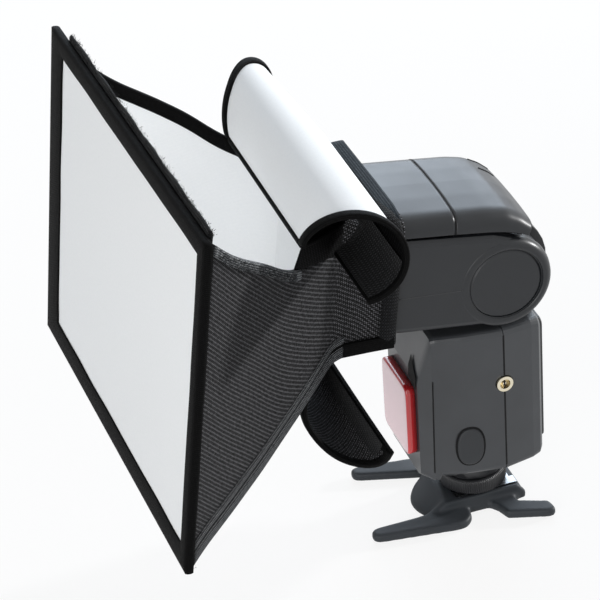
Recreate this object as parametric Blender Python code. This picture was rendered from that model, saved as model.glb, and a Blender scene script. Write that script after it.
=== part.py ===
"""A tilting and swivelling hot-shoe flash that wears a folding fabric softbox and stands on a small
four-legged shoe stand.

Lengths are millimetres until a part is made, and metres after that. Parts of the stand and the body
are drawn from the tilt axis, +X to the flash's back, +Y to its far side and +Z up. Parts of the head
and the softbox are drawn the same way in a frame that leans with the head.
"""
import math

import bmesh
import bpy
import numpy as np
from mathutils import Vector

MM = 0.001
GAP = 0.3

# Place of the tilt axis: height above the floor, and distance that centres the whole on the origin
PIVOT_X = 76.34
PIVOT_Z = 130.0
HEAD_TILT = 8.5

# Stand and hot shoe, to the common 18.6 mm accessory shoe
FLOOR = -PIVOT_Z
SHOE_X = -7.0
LEG_HEIGHT = 4.5
FEET_TURN = -8.5
HUB_TOP = -121.3
SHOE_BASE = -126.2
FOOT_LENGTH = 18.4
FOOT_WIDTH = 18.4
FOOT_THICKNESS = 2.0
FOOT_BASE = -124.9
RAIL_GAP = 13.0
RING_LOW = -120.7
RING_HIGH = -113.3
RING_RADIUS = 15.5
TRIPOD_BORE = 6.35

# Flash body, widest at the seam between its two shells
SEAM_X = -2.0
BODY_WALL = 2.0
BODY_TOP = -23.2
BODY_BOTTOM = -98.3
FRONT_SHAPE = (
    (SEAM_X - GAP / 2, 31.4, BODY_BOTTOM, BODY_TOP, 3.0),
    (-20.0, 28.6, -98.2, -23.4, 3.0),
    (-30.5, 25.6, -98.0, -23.8, 3.0),
    (-31.5, 25.3, -100.5, -23.9, 3.0),
    (-33.5, 24.6, -100.5, -24.4, 3.0),
    (-38.4, 18.5, -99.5, -47.0, 3.0),
)
REAR_SHAPE = (
    (SEAM_X + GAP / 2, 31.4, BODY_BOTTOM, BODY_TOP, 3.0),
    (12.0, 29.4, -97.6, -23.6, 3.0),
    (15.8, 28.4, -97.0, -24.2, 3.5),
    (17.2, 26.8, -95.8, -25.8, 3.5),
)
SWIVEL_X = -3.0
STEM_RADIUS = 10.5

# Small parts of the body
WINDOW_FRONT = -41.5
WINDOW_HALF = 15.8
WINDOW_LOW, WINDOW_HIGH = -90.5, -55.5
SOCKET_Z = -51.0
COVER_X, COVER_Z = -18.0, -82.0
COVER_HALF_X, COVER_HALF_Z = 6.1, 9.7
DOOR_FRONT, DOOR_BACK = -19.0, 13.0
DOOR_LOW, DOOR_HIGH = -93.0, -57.0
DOOR_WALL = 1.8
CELL_RADIUS = 7.1
CELL_LENGTH = 50.5
CELL_ROWS = ((-10.4, -83.6), (4.2, -83.6), (-10.4, -69.0), (4.2, -69.0))
PANEL_BACK = 19.7
BUTTON_PLACES = (
    ("test_button", -14.0, -80.0, 3.4),
    ("mode_button", -14.0, -64.0, 2.6),
    ("select_button", 2.0, -68.0, 5.0),
)

# Head: round cheeks on the tilt axis, a lid on top and a barrel of the neck between the cheeks
HEAD_HALF = 31.0
HEAD_FRONT = -80.0
HEAD_LOW = -20.5
HEAD_WALL = 2.2
CHEEK_RADIUS = 21.4
BARREL_RADIUS = 25.0
BARREL_HALF = 16.6
AXLE_RADIUS = 3.9
CAP_RADIUS = 16.3
LID_SEAM = -26.0
LID_HALF = 28.4
LID_CROWN = 33.8

# Softbox: a sleeve on the head, two standing sides, a 200 by 150 mm white front and two curled flaps
COLLAR_BACK, COLLAR_FRONT = -51.0, -78.0
COLLAR_HALF = 31.7
COLLAR_LOW, COLLAR_HIGH = -21.2, 34.6
COLLAR_WALL = 1.8
BOX_FRONT = -164.2
BOX_HALF = 100.5
BOX_LOW, BOX_HIGH = -78.8, 72.8
BOX_SKEW = 0.037
BINDING_WIDTH, BINDING_DEPTH = 7.0, 3.0
CLOTH = 1.4
TAPE = 1.0

# Long edges of a side, as (share of the way from the sleeve to the front, height)
SIDE_TOP = ((0.0, 34.0), (0.3, 34.0), (0.45, 39.5), (0.6, 46.0), (0.78, 53.5), (0.9, 59.5), (1.0, 65.0))
SIDE_BOTTOM = ((0.0, -23.0), (0.1, -29.5), (0.2, -37.5), (0.3, -44.0), (0.52, -56.0), (0.73, -64.5),
               (1.0, -76.0))

# Flaps, as rows of (x, height, half width) from the seam to the free edge. The top flap curls tighter at its
# two ends than in its middle
TOP_SEAM = (COLLAR_FRONT - 0.8, COLLAR_HIGH + 3.4)
TOP_END_CURL = (-87.3, 45.9, 17.4, 192.0, -78.0)
TOP_MIDDLE_CURL = (-87.0, 46.4, 17.7, 192.0, -26.0)
TOP_WIDTHS = (33.0, 56.0, 72.0, 81.0)
BOTTOM_ROWS = (
    (-78.8, -25.2, 33.0),
    (-86.5, -34.6, 38.0),
    (-93.0, -43.0, 43.0),
    (-92.0, -50.5, 46.5),
    (-87.4, -57.2, 51.0),
    (-81.6, -61.7, 56.0),
    (-75.6, -62.6, 62.0),
    (-69.6, -60.2, 69.0),
    (-65.9, -54.6, 74.5),
    (-65.5, -47.7, 78.0),
)

# Colours of the real materials as sRGB bytes, with roughness and metallic values
SATIN_PLASTIC = ((74, 76, 78), 0.45, 0.0)
DARK_PLASTIC = ((34, 35, 37), 0.5, 0.0)
STAND_PLASTIC = ((72, 75, 79), 0.5, 0.0)
RED_WINDOW = ((200, 56, 58), 0.12, 0.0)
CLEAR_PLASTIC = ((225, 228, 230), 0.1, 0.0)
STEEL = ((190, 192, 195), 0.3, 1.0)
BRASS = ((205, 170, 95), 0.3, 1.0)
MIRROR = ((235, 236, 238), 0.08, 1.0)
GLASS = ((235, 240, 242), 0.05, 0.0)
RUBBER = ((58, 60, 62), 0.7, 0.0)
BOARD = ((30, 92, 60), 0.6, 0.0)
CELL_WRAP = ((60, 62, 66), 0.4, 0.2)
SLEEVE = ((32, 40, 70), 0.35, 0.0)
NYLON = ((28, 28, 30), 0.9, 0.0)
WHITE_CLOTH = ((225, 226, 228), 0.9, 0.0)
HOOK_TAPE = ((18, 18, 19), 1.0, 0.0)


def clear_scene():
    for item in list(bpy.data.objects):
        bpy.data.objects.remove(item, do_unlink=True)


def linear(byte):
    """Turn one sRGB byte into a linear value."""
    value = byte / 255
    return value / 12.92 if value <= 0.04045 else ((value + 0.055) / 1.055) ** 2.4


def finish(name, look):
    colour, roughness, metallic = look
    material = bpy.data.materials.new(name)
    material.use_nodes = True
    shader = material.node_tree.nodes["Principled BSDF"]
    shader.inputs["Base Color"].default_value = (*[linear(byte) for byte in colour], 1.0)
    shader.inputs["Roughness"].default_value = roughness
    shader.inputs["Metallic"].default_value = metallic
    return material


def axis_frame(name, location, parent=None, lean=0.0):
    frame = bpy.data.objects.new(name, None)
    frame.location = Vector(location) * MM
    frame.rotation_euler = (0.0, math.radians(lean), 0.0)
    frame.parent = parent
    bpy.context.collection.objects.link(frame)
    return frame


def add_part(name, shape, look, frame, origin=(0.0, 0.0, 0.0)):
    """Make a shape drawn in a frame into an object whose own origin lies at the given point."""
    bmesh.ops.recalc_face_normals(shape, faces=shape.faces)
    start = Vector(origin)
    for vertex in shape.verts:
        vertex.co = (vertex.co - start) * MM
    mesh = bpy.data.meshes.new(name)
    shape.to_mesh(mesh)
    shape.free()
    mesh.shade_smooth()
    mesh.set_sharp_from_angle(angle=math.radians(35.0))
    mesh.materials.append(finish(name, look))
    part = bpy.data.objects.new(name, mesh)
    part.location = start * MM
    part.parent = frame
    bpy.context.collection.objects.link(part)
    return part


def skin(rings, loop=False):
    """Skin a run of equal rings. Caps close the two ends, or the last ring joins the first."""
    shape = bmesh.new()
    rows = [[shape.verts.new(point) for point in ring] for ring in rings]
    pairs = list(zip(rows, rows[1:]))
    if loop:
        pairs.append((rows[-1], rows[0]))
    count = len(rings[0])
    for first, second in pairs:
        for index in range(count):
            after = (index + 1) % count
            shape.faces.new((first[index], first[after], second[after], second[index]))
    if not loop:
        shape.faces.new(rows[0][::-1])
        shape.faces.new(rows[-1])
    bmesh.ops.recalc_face_normals(shape, faces=shape.faces)
    return shape


def on_axis(point, axis, level):
    """Put a flat outline point at a level along an axis, keeping the order x, y, z."""
    place = list(point)
    place.insert(axis, level)
    return place


def slab(outline, axis, low, high, bevel=0.0, segments=2):
    """Extrude a flat outline along an axis, with its two rims rounded over."""
    shape = skin([[on_axis(point, axis, level) for point in outline] for level in (low, high)])
    if bevel:
        rims = [edge for edge in shape.edges if abs(edge.verts[0].co[axis] - edge.verts[1].co[axis]) < 1e-6]
        bmesh.ops.bevel(shape, geom=rims, offset=bevel, segments=segments, affect="EDGES", profile=0.5)
    return shape


def block(x_range, y_range, z_range, bevel=0.0):
    (left, right), (near, far) = x_range, y_range
    return slab(((left, near), (right, near), (right, far), (left, far)), 2, *z_range, bevel=bevel)


def circle(centre, radius, sides):
    steps = [2 * math.pi * index / sides for index in range(sides)]
    return [(centre[0] + radius * math.cos(a), centre[1] + radius * math.sin(a)) for a in steps]


def arc(centre, radius, start, end, steps):
    """Points of an arc between two angles in degrees, both ends included."""
    angles = [math.radians(start + (end - start) * index / steps) for index in range(steps + 1)]
    return [(centre[0] + radius * math.cos(a), centre[1] + radius * math.sin(a)) for a in angles]


def rounded(centre, half, radius, steps=4):
    """A rectangle with round corners, counter-clockwise."""
    corners = ((1, 1, 0), (-1, 1, 90), (-1, -1, 180), (1, -1, 270))
    points = []
    for side_a, side_b, start in corners:
        middle = (centre[0] + side_a * (half[0] - radius), centre[1] + side_b * (half[1] - radius))
        points += arc(middle, radius, start, start + 90, steps)
    return points


def turned(profile, axis, centre, sides=24, loop=False):
    """Turn a profile of (radius, level) points about an axis through a flat centre point."""
    rings = [[on_axis(point, axis, level) for point in circle(centre, radius, sides)]
             for radius, level in profile]
    return skin(rings, loop)


def washer(axis, centre, inner, outer, low, high, sides=24):
    return turned(((inner, low), (outer, low), (outer, high), (inner, high)), axis, centre, sides, loop=True)


def rod(axis, centre, radius, low, high, sides=20):
    return turned(((radius, low), (radius, high)), axis, centre, sides)


def scratch_object(shape):
    bmesh.ops.recalc_face_normals(shape, faces=shape.faces)
    mesh = bpy.data.meshes.new("scratch")
    shape.to_mesh(mesh)
    shape.free()
    item = bpy.data.objects.new("scratch", mesh)
    bpy.context.collection.objects.link(item)
    return item


def combine(solid, others, operation):
    """Cut other shapes out of a solid, or join them to it."""
    target = scratch_object(solid)
    tools = [scratch_object(other) for other in others]
    for tool in tools:
        step = target.modifiers.new("combine", "BOOLEAN")
        step.object = tool
        step.operation = operation
        step.solver = "EXACT"
    bpy.context.view_layer.update()
    result = target.evaluated_get(bpy.context.evaluated_depsgraph_get())
    whole = bmesh.new()
    whole.from_mesh(result.to_mesh())
    result.to_mesh_clear()
    for item in [target] + tools:
        mesh = item.data
        bpy.data.objects.remove(item, do_unlink=True)
        bpy.data.meshes.remove(mesh)
    return whole


def sheet(grid, thickness):
    """Close a grid of points into a sheet of even thickness."""
    grid = np.asarray(grid, dtype=float)
    normal = np.cross(np.gradient(grid, axis=0), np.gradient(grid, axis=1))
    normal /= np.linalg.norm(normal, axis=2, keepdims=True)
    shape = bmesh.new()
    sides = []
    for shift in (thickness / 2, -thickness / 2):
        moved = grid + shift * normal
        sides.append([[shape.verts.new(point) for point in row] for row in moved])
    upper, lower = sides
    rows, columns = grid.shape[:2]
    for i in range(rows - 1):
        for j in range(columns - 1):
            for side in sides:
                shape.faces.new((side[i][j], side[i + 1][j], side[i + 1][j + 1], side[i][j + 1]))
    border = [(0, j) for j in range(columns)] + [(i, columns - 1) for i in range(1, rows)]
    border += [(rows - 1, j) for j in range(columns - 2, -1, -1)] + [(i, 0) for i in range(rows - 2, 0, -1)]
    for (a, b), (c, d) in zip(border, border[1:] + border[:1]):
        shape.faces.new((upper[a][b], upper[c][d], lower[c][d], lower[a][b]))
    bmesh.ops.recalc_face_normals(shape, faces=shape.faces)
    return shape


def between(start, end, share):
    return start + (end - start) * share


def body_half(x):
    """Half width of the flash body at a place along it."""
    stations = sorted((row[0], row[1]) for row in FRONT_SHAPE + REAR_SHAPE)
    return float(np.interp(x, [row[0] for row in stations], [row[1] for row in stations]))


def shell(shape_rows, wall):
    """A drafted cup that is open at its first section and closed at its last."""

    def section(x, half, low, high, radius, inset):
        middle = (0.0, (low + high) / 2)
        size = (half - inset, (high - low) / 2 - inset)
        return [on_axis(point, 0, x) for point in rounded(middle, size, max(radius - inset, 0.8))]

    outer = [section(*row, 0.0) for row in shape_rows]
    depth = math.copysign(wall, shape_rows[0][0] - shape_rows[-1][0])
    last = shape_rows[-1]
    inner = [section(*row, wall) for row in shape_rows[:-1]]
    inner.append(section(last[0] + depth, *last[1:], wall))
    kept = [ring for ring in inner if (ring[0][0] - inner[-1][0][0]) * depth >= 0]
    return skin(kept[::-1] + outer)


def splayed(outline):
    """A leg's outline turned with the stand's feet about the middle of the shoe."""
    c, s = math.cos(math.radians(FEET_TURN)), math.sin(math.radians(FEET_TURN))
    return [(SHOE_X + (x - SHOE_X) * c - y * s, (x - SHOE_X) * s + y * c) for x, y in outline]


def build_stand(frame):
    """Moulded stand: a hub with a ramp at its front, two long front legs and two short back legs."""
    plate = slab(rounded((SHOE_X - 3.0, 0.0), (22.0, 16.0), 5.0), 2, FLOOR, FLOOR + LEG_HEIGHT, bevel=0.8)
    ramp = [(-37.0, FLOOR), (-36.5, FLOOR + 2.0), (-25.0, HUB_TOP)]
    ramp += [(10.0, HUB_TOP), (14.0, FLOOR + 4.0), (14.0, FLOOR)]
    hub = slab(ramp, 1, -14.5, 14.5, bevel=0.8)
    legs = []
    for side in (1, -1):
        front = [(x, side * y) for x, y in arc((-20.0, 20.4), 7.8, -60, 100, 8)]
        front += [(x, side * y) for x, y in arc((-56.0, 24.4), 3.6, 100, 260, 6)]
        reach = 23.2 if side < 0 else 18.6
        back = [(-6.0, side * 12.0), (0.5, side * 19.0), (3.5, side * 25.2), (reach - 1.2, side * 28.8)]
        back += [(x, side * y) for x, y in arc((reach, 26.2), 2.6, 60, -40, 4)]
        back += [(reach + 0.8, side * 20.6), (10.5, side * 16.8), (9.0, side * 12.0)]
        legs += [slab(splayed(front), 2, FLOOR, FLOOR + LEG_HEIGHT, bevel=0.8)]
        legs += [slab(splayed(back), 2, FLOOR, FLOOR + LEG_HEIGHT, bevel=0.8)]
    channel = block((-19.0, 40.0), (-11.8, 11.8), (SHOE_BASE - GAP, HUB_TOP + 5.0))
    bush_hole = rod(2, (SHOE_X, 0.0), 5.0, FLOOR - 2.0, SHOE_BASE)
    stand = combine(combine(plate, [hub] + legs, "UNION"), [channel, bush_hole], "DIFFERENCE")
    add_part("stand_base", stand, STAND_PLASTIC, frame)

    half, rail, slot_top = 11.5, RAIL_GAP / 2, FOOT_BASE + FOOT_THICKNESS + GAP
    floor_top, slot_half = FOOT_BASE - GAP, FOOT_WIDTH / 2 + GAP
    right = [(half, SHOE_BASE), (half, HUB_TOP), (rail, HUB_TOP), (rail, slot_top), (slot_half, slot_top)]
    right += [(slot_half, floor_top)]
    channel_section = right + [(-y, z) for y, z in right[::-1]]
    add_part("stand_shoe", slab(channel_section, 0, -18.6, 10.5), STEEL, frame)
    bush = washer(2, (SHOE_X, 0.0), TRIPOD_BORE / 2, 4.7, FLOOR + 0.1, SHOE_BASE - GAP)
    add_part("tripod_bush", bush, BRASS, frame)


def build_foot(frame):
    """Metal foot in the shoe, its pedestal under the body and the knurled ring that locks it."""
    plate, neck = FOOT_WIDTH / 2, RAIL_GAP / 2 - 0.4
    top = FOOT_BASE + FOOT_THICKNESS
    right = [(plate, FOOT_BASE), (plate, top), (neck, top), (neck, RING_HIGH + 0.1)]
    outline = right + [(-y, z) for y, z in right[::-1]]
    reach = (SHOE_X - FOOT_LENGTH / 2, SHOE_X + FOOT_LENGTH / 2)
    pocket = block((SHOE_X - 3.6, SHOE_X + 6.8), (-6.6, 6.6), (FOOT_BASE - 1.0, FOOT_BASE + 1.5))
    add_part("shoe_foot", combine(slab(outline, 0, *reach), [pocket], "DIFFERENCE"), STEEL, frame)
    carrier = block((SHOE_X - 3.3, SHOE_X + 6.5), (-6.3, 6.3), (FOOT_BASE + 0.7, FOOT_BASE + 1.2))
    pins = [rod(2, place, 0.9, FOOT_BASE + 0.1, FOOT_BASE + 0.9, 12) for place in contact_places()]
    add_part("contact_pins", combine(carrier, pins, "UNION"), BRASS, frame)

    sides = 60
    bore, edge, teeth = 11.6, RING_RADIUS - 1.0, 0.45
    levels = ((bore, 0.0, RING_LOW), (edge, 0.0, RING_LOW), (RING_RADIUS, teeth, RING_LOW + 1.0))
    levels += ((RING_RADIUS, teeth, RING_HIGH - 1.0), (edge, 0.0, RING_HIGH), (bore, 0.0, RING_HIGH))
    rings = []
    for radius, knurl, level in levels:
        ring = []
        for index in range(sides):
            angle = 2 * math.pi * index / sides
            reach_out = radius - knurl * (index % 2)
            ring.append((SHOE_X + reach_out * math.cos(angle), reach_out * math.sin(angle), level))
        rings.append(ring)
    add_part("lock_ring", skin(rings, loop=True), DARK_PLASTIC, frame, (SHOE_X, 0.0, RING_LOW))

    steps = ((-100.8, -9.0, 20.0, 20.5, 5.0), (-103.0, -9.0, 19.0, 19.5, 5.0))
    steps += ((-105.0, -8.0, 15.5, 15.5, 8.0), (RING_HIGH + 0.5, SHOE_X, 13.5, 13.5, 12.0))
    rings = [[on_axis(p, 2, level) for p in rounded((x, 0.0), (a, b), r)] for level, x, a, b, r in steps]
    add_part("pedestal", skin(rings), DARK_PLASTIC, frame)


def contact_places():
    """The centre contact of the foot and four small ones behind it."""
    places = [(SHOE_X, 0.0)]
    places += [(SHOE_X + x, side * 4.4) for x in (4.2, -1.0) for side in (1, -1)]
    return places


def build_body(frame):
    """Front and rear shells that meet at a seam, with what shows through them."""
    door_hole = block((DOOR_FRONT - GAP, DOOR_BACK + GAP), (20.0, 45.0), (DOOR_LOW - GAP, DOOR_HIGH + GAP))
    oval = [(COVER_X + (COVER_HALF_X + GAP) * c, COVER_Z + (COVER_HALF_Z + GAP) * s)
            for c, s in circle((0, 0), 1, 28)]
    cover_hole = slab(oval, 1, -45.0, -20.0)
    sensor_hole = block((-45.0, -33.0), (-12.5, 12.5), (-87.0, -59.0))

    def seam_cutters():
        socket_hole = rod(1, (SEAM_X, SOCKET_Z), 4.1, -45.0, -20.0)
        stem_hole = rod(2, (SWIVEL_X, 0.0), STEM_RADIUS + 0.5, BODY_TOP - 8.0, BODY_TOP + 8.0, 28)
        return [socket_hole, stem_hole]

    front_cutters = [door_hole.copy(), cover_hole, sensor_hole] + seam_cutters()
    front_shell = combine(shell(FRONT_SHAPE, BODY_WALL), front_cutters, "DIFFERENCE")
    add_part("body_front_shell", front_shell, SATIN_PLASTIC, frame)
    rear_shell = combine(shell(REAR_SHAPE, BODY_WALL), [door_hole] + seam_cutters(), "DIFFERENCE")
    add_part("body_rear_shell", rear_shell, SATIN_PLASTIC, frame)

    window_middle = (0.0, (WINDOW_LOW + WINDOW_HIGH) / 2)
    window_size = (WINDOW_HALF, (WINDOW_HIGH - WINDOW_LOW) / 2)
    window = slab(rounded(window_middle, window_size, 1.6), 0, WINDOW_FRONT, -38.4 - GAP, bevel=0.6)
    add_part("front_window", window, RED_WINDOW, frame)
    lamp = turned(((4.6, -36.0), (4.6, -33.2), (2.0, -29.0)), 0, (0.0, -66.0))
    add_part("assist_lamp", lamp, CLEAR_PLASTIC, frame)
    sensor = turned(((2.0, -37.0), (3.8, -36.0), (3.8, -32.0)), 0, (0.0, -80.0))
    add_part("slave_sensor", sensor, DARK_PLASTIC, frame)

    cup = ((0.8, -31.4), (0.8, -27.0), (2.4, -27.0), (2.4, -32.2), (3.8, -32.2), (3.8, -26.0))
    add_part("sync_socket", turned(cup, 1, (SEAM_X, SOCKET_Z), 28), BRASS, frame)

    rings = []
    for depth in (-0.5, 0.0, 1.6):
        inset = 0.6 if depth < 0 else 0.0
        ring = []
        for c, s in circle((0, 0), 1, 28):
            x = COVER_X + (COVER_HALF_X - inset) * c
            ring.append((x, -body_half(x) + depth, COVER_Z + (COVER_HALF_Z - inset) * s))
        rings.append(ring)
    add_part("port_cover", skin(rings), RUBBER, frame, (COVER_X, -body_half(COVER_X), COVER_Z + COVER_HALF_Z))
    port = washer(1, (COVER_X - 4.4, COVER_Z), 1.8, 3.4, -25.0, -18.0, 20)
    add_part("side_port", port, DARK_PLASTIC, frame)


def build_power(frame):
    """Battery door, tray, cells and contacts on the far side, with the capacitor and the main board."""
    spots = (DOOR_FRONT, SEAM_X, DOOR_BACK)
    outline = [(x, body_half(x)) for x in spots] + [(x, body_half(x) - DOOR_WALL) for x in spots[::-1]]
    door = slab(outline, 2, DOOR_LOW, DOOR_HIGH)
    add_part("battery_door", door, SATIN_PLASTIC, frame, (DOOR_BACK, body_half(DOOR_BACK), DOOR_LOW))

    def frame_ring(inset, level):
        low, high = (-18.4 + inset, 12.2 - inset)
        bottom, top = (-91.6 + inset, -61.0 - inset)
        return [(low, level, bottom), (high, level, bottom), (high, level, top), (low, level, top)]

    tray = [frame_ring(0.0, -26.6), frame_ring(0.0, 25.6), frame_ring(0.6, 25.6), frame_ring(0.6, -26.6)]
    add_part("battery_tray", skin(tray, loop=True), DARK_PLASTIC, frame)
    low = -CELL_LENGTH / 2
    for index, place in enumerate(CELL_ROWS, start=1):
        steps = ((CELL_RADIUS, low), (CELL_RADIUS, -low - 1.2), (2.7, -low - 1.2), (2.7, -low))
        add_part(f"battery_cell_{index}", turned(steps, 1, place, 20), CELL_WRAP, frame)
    add_part("battery_contacts", block((-17.3, 11.1), (-26.4, -25.6), (-90.5, -62.1)), BRASS, frame)
    add_part("main_capacitor", rod(1, (-24.0, -45.0), 8.5, -20.0, 20.0, 24), SLEEVE, frame)
    add_part("main_board", block((8.0, 9.6), (-24.0, 24.0), (-58.0, -35.0)), BOARD, frame)


def build_back(frame):
    """Control panel on the back with its display, push buttons and slide switch."""
    outline = rounded((0.0, -59.5), (23.5, 31.5), 3.0)
    holes = [rod(0, (y, z), radius + GAP, 10.0, 30.0) for _, y, z, radius in BUTTON_PLACES]
    pocket = block((18.7, 30.0), (-17.3, 17.3), (-52.3, -33.7))
    switch_slot = block((10.0, 30.0), (9.0, 19.3), (-83.0, -77.0))
    plate = slab(outline, 0, 17.5, PANEL_BACK, bevel=0.6)
    panel = combine(plate, holes + [pocket, switch_slot], "DIFFERENCE")
    add_part("back_panel", panel, DARK_PLASTIC, frame)
    display = block((19.0, 20.2), (-17.0, 17.0), (-52.0, -34.0), bevel=0.3)
    add_part("display_window", display, CLEAR_PLASTIC, frame)
    for name, y, z, radius in BUTTON_PLACES:
        profile = ((radius, 18.4), (radius, PANEL_BACK + 0.9), (radius - 0.6, PANEL_BACK + 1.5))
        add_part(name, turned(profile, 0, (y, z), 20), RUBBER, frame, (PANEL_BACK, y, z))
    knob = block((18.0, 21.6), (9.3, 14.0), (-82.6, -77.4), bevel=0.4)
    add_part("power_switch", knob, RUBBER, frame, (PANEL_BACK, 11.6, -80.0))


def build_neck(frame):
    """Neck that turns on the body: a barrel between the head's cheeks and a stem with its retainer."""
    block_low = BODY_TOP + 0.6
    outline = [(18.6, block_low), (19.4, -15.6)] + arc((0.0, 0.0), BARREL_RADIUS, -38, 218, 22)
    outline += [(-19.4, -15.6), (-18.6, block_low)]
    barrel = slab(outline, 1, -BARREL_HALF, BARREL_HALF, bevel=0.5)
    stem = rod(2, (SWIVEL_X, 0.0), STEM_RADIUS, -33.0, block_low + 2.0, 28)
    axle_hole = rod(1, (0.0, 0.0), AXLE_RADIUS + GAP, -40.0, 40.0)
    neck = combine(combine(barrel, [stem], "UNION"), [axle_hole], "DIFFERENCE")
    origin = (SWIVEL_X, 0.0, BODY_TOP)
    add_part("neck", neck, SATIN_PLASTIC, frame, origin)
    retainer = washer(2, (SWIVEL_X, 0.0), STEM_RADIUS + GAP, 15.0, -29.0, -26.0, 28)
    add_part("swivel_retainer", retainer, STEEL, frame, origin)
    add_part("tilt_axle", rod(1, (0.0, 0.0), AXLE_RADIUS, -29.0, 29.0, 20), STEEL, frame)


def build_head(frame):
    """Lower shell with its two cheeks, the two-part lid, the pivot caps and the front bezel."""
    side = [(HEAD_FRONT, HEAD_LOW)] + arc((0.0, 0.0), CHEEK_RADIUS, -107, 75, 18)
    side += [(-8.0, 24.2), (HEAD_FRONT, 25.9)]
    trough = slab(side, 1, -HEAD_HALF, HEAD_HALF, bevel=3.0, segments=3)
    inner = HEAD_HALF - HEAD_WALL
    cavity_back = -BARREL_RADIUS - 1.0
    cutters = [block((HEAD_FRONT - 10.0, cavity_back), (-inner, inner), (HEAD_LOW + HEAD_WALL, 50.0))]
    cutters += [block((cavity_back - 1.0, 40.0), (-BARREL_HALF - 0.5, BARREL_HALF + 0.5), (-40.0, 50.0))]
    cutters += [rod(1, (0.0, 0.0), AXLE_RADIUS + GAP, -50.0, 50.0)]
    cap_floor = HEAD_HALF - 1.7
    for ends in ((cap_floor, 50.0), (-50.0, -cap_floor)):
        cutters.append(rod(1, (0.0, 0.0), CAP_RADIUS + GAP, *ends, 40))
    add_part("head_shell", combine(trough, cutters, "DIFFERENCE"), SATIN_PLASTIC, frame)
    for name, sign in (("pivot_cap_near", -1), ("pivot_cap_far", 1)):
        profile = [(CAP_RADIUS, sign * (cap_floor + GAP)), (CAP_RADIUS, sign * (HEAD_HALF - 0.2))]
        profile += [(CAP_RADIUS - 0.7, sign * (HEAD_HALF + 0.2))]
        add_part(name, turned(profile, 1, (0.0, 0.0), 40), SATIN_PLASTIC, frame)

    seam_front, seam_back = LID_SEAM - GAP / 2, LID_SEAM + GAP / 2
    front = ((HEAD_FRONT, LID_CROWN, HEAD_FRONT, 26.3, 2.0), (seam_front, LID_CROWN, seam_front, 26.0, 2.0))
    rear = ((seam_back, LID_CROWN, seam_back, 26.0, 2.0), (-10.0, LID_CROWN, -10.0, 25.6, 2.0))
    rear += ((-2.0, 32.8, -3.0, 25.0, 2.0), (4.5, 29.8, 3.0, 23.9, 2.0), (10.2, 25.6, 8.0, 22.4, 1.4))
    add_part("head_lid_front", skin([lid_section(*row) for row in front]), SATIN_PLASTIC, frame)
    add_part("head_lid_rear", skin([lid_section(*row) for row in rear]), SATIN_PLASTIC, frame)

    middle, size = (0.0, 5.4), (HEAD_HALF - 0.6, 24.6)
    edges = [[on_axis(p, 0, x) for p in rounded(middle, (size[0] - d, size[1] - d), 3.0)]
             for x, d in ((-80.3, 0.0), (-82.0, 0.0), (-82.0, 3.6), (-80.3, 3.6))]
    add_part("lens_bezel", skin(edges, loop=True), DARK_PLASTIC, frame)
    lens = block((-79.6, -77.4), (-27.0, 27.0), (-16.0, 24.6), bevel=0.4)
    add_part("front_lens", lens, CLEAR_PLASTIC, frame)


def lid_section(crown_x, crown_z, edge_x, edge_z, wall):
    """One cross-section of the lid: a crowned top that rolls over to the two side edges."""
    rise = ((1.0, 1.0), (0.995, 0.62), (0.95, 0.32), (0.82, 0.14), (0.42, 0.03), (0.0, 0.0))
    fall = Vector((edge_x - crown_x, 0.0, edge_z - crown_z))
    down = fall.normalized()

    def point(side, across, share, depth):
        drop = depth * (1.0 - share)
        place = Vector((crown_x, 0.0, crown_z)) + fall * share + down * drop
        return (place.x, side * across * (LID_HALF - depth), place.z)

    outer = [point(1, a, b, 0.0) for a, b in rise] + [point(-1, a, b, 0.0) for a, b in rise[-2::-1]]
    inner = [point(-1, a, b, wall) for a, b in rise] + [point(1, a, b, wall) for a, b in rise[-2::-1]]
    return outer + inner


def build_lamp(frame):
    """Zooming light: tube and reflector on a carriage that a motor's screw drives along two rods."""
    focus = (-44.0, 6.0)
    bowl = [(focus[0] + 6.0 - 22.0 * (h / 14.0) ** 2, focus[1] + h) for h in range(-14, 15, 4)]
    outline = bowl + [(x + 1.0, z) for x, z in bowl[::-1]]
    add_part("reflector", slab(outline, 1, -22.0, 22.0), MIRROR, frame)
    add_part("flash_tube", rod(1, focus, 2.2, -21.0, 21.0, 16), GLASS, frame)
    holder = block((-35.8, -34.0), (-25.4, 25.4), (focus[1] - 3.0, focus[1] + 3.0))
    arm_height = (focus[1] - 3.0, focus[1] + 3.0)
    arms = [block((-46.6, -34.5), ends, arm_height) for ends in ((-25.4, -22.6), (22.6, 25.4))]
    add_part("tube_holder", combine(holder, arms, "UNION"), DARK_PLASTIC, frame)
    rail_z = -13.0
    plate = block((-56.0, -38.0), (-25.0, 25.0), (-15.6, -9.6), bevel=0.5)
    bores = ((-20.0, 1.2), (20.0, 1.2), (8.0, 1.6))
    holes = [rod(0, (y, rail_z), radius + GAP, -90.0, 0.0) for y, radius in bores]
    add_part("zoom_carriage", combine(plate, holes, "DIFFERENCE"), DARK_PLASTIC, frame)
    rods = [rod(0, (y, rail_z), 1.2, -76.5, -36.8, 12) for y in (-20.0, 20.0)]
    bridge = block((-37.6, -36.2), (-22.0, 22.0), (rail_z - 3.0, rail_z + 3.0))
    screw_hole = rod(0, (8.0, rail_z), 1.6 + GAP, -50.0, -30.0)
    rack = combine(combine(rods[0], [rods[1], bridge], "UNION"), [screw_hole], "DIFFERENCE")
    add_part("guide_rods", rack, STEEL, frame)
    add_part("lead_screw", rod(0, (8.0, rail_z), 1.6, -74.0, -32.4, 14), STEEL, frame, (-32.4, 8.0, rail_z))
    add_part("zoom_motor", rod(0, (8.0, rail_z), 4.6, -32.0, -27.0, 20), STEEL, frame)
    add_part("trigger_coil", block((-35.0, -28.0), (-16.0, -4.0), (-17.6, -9.0), bevel=0.4), RUBBER, frame)


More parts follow.
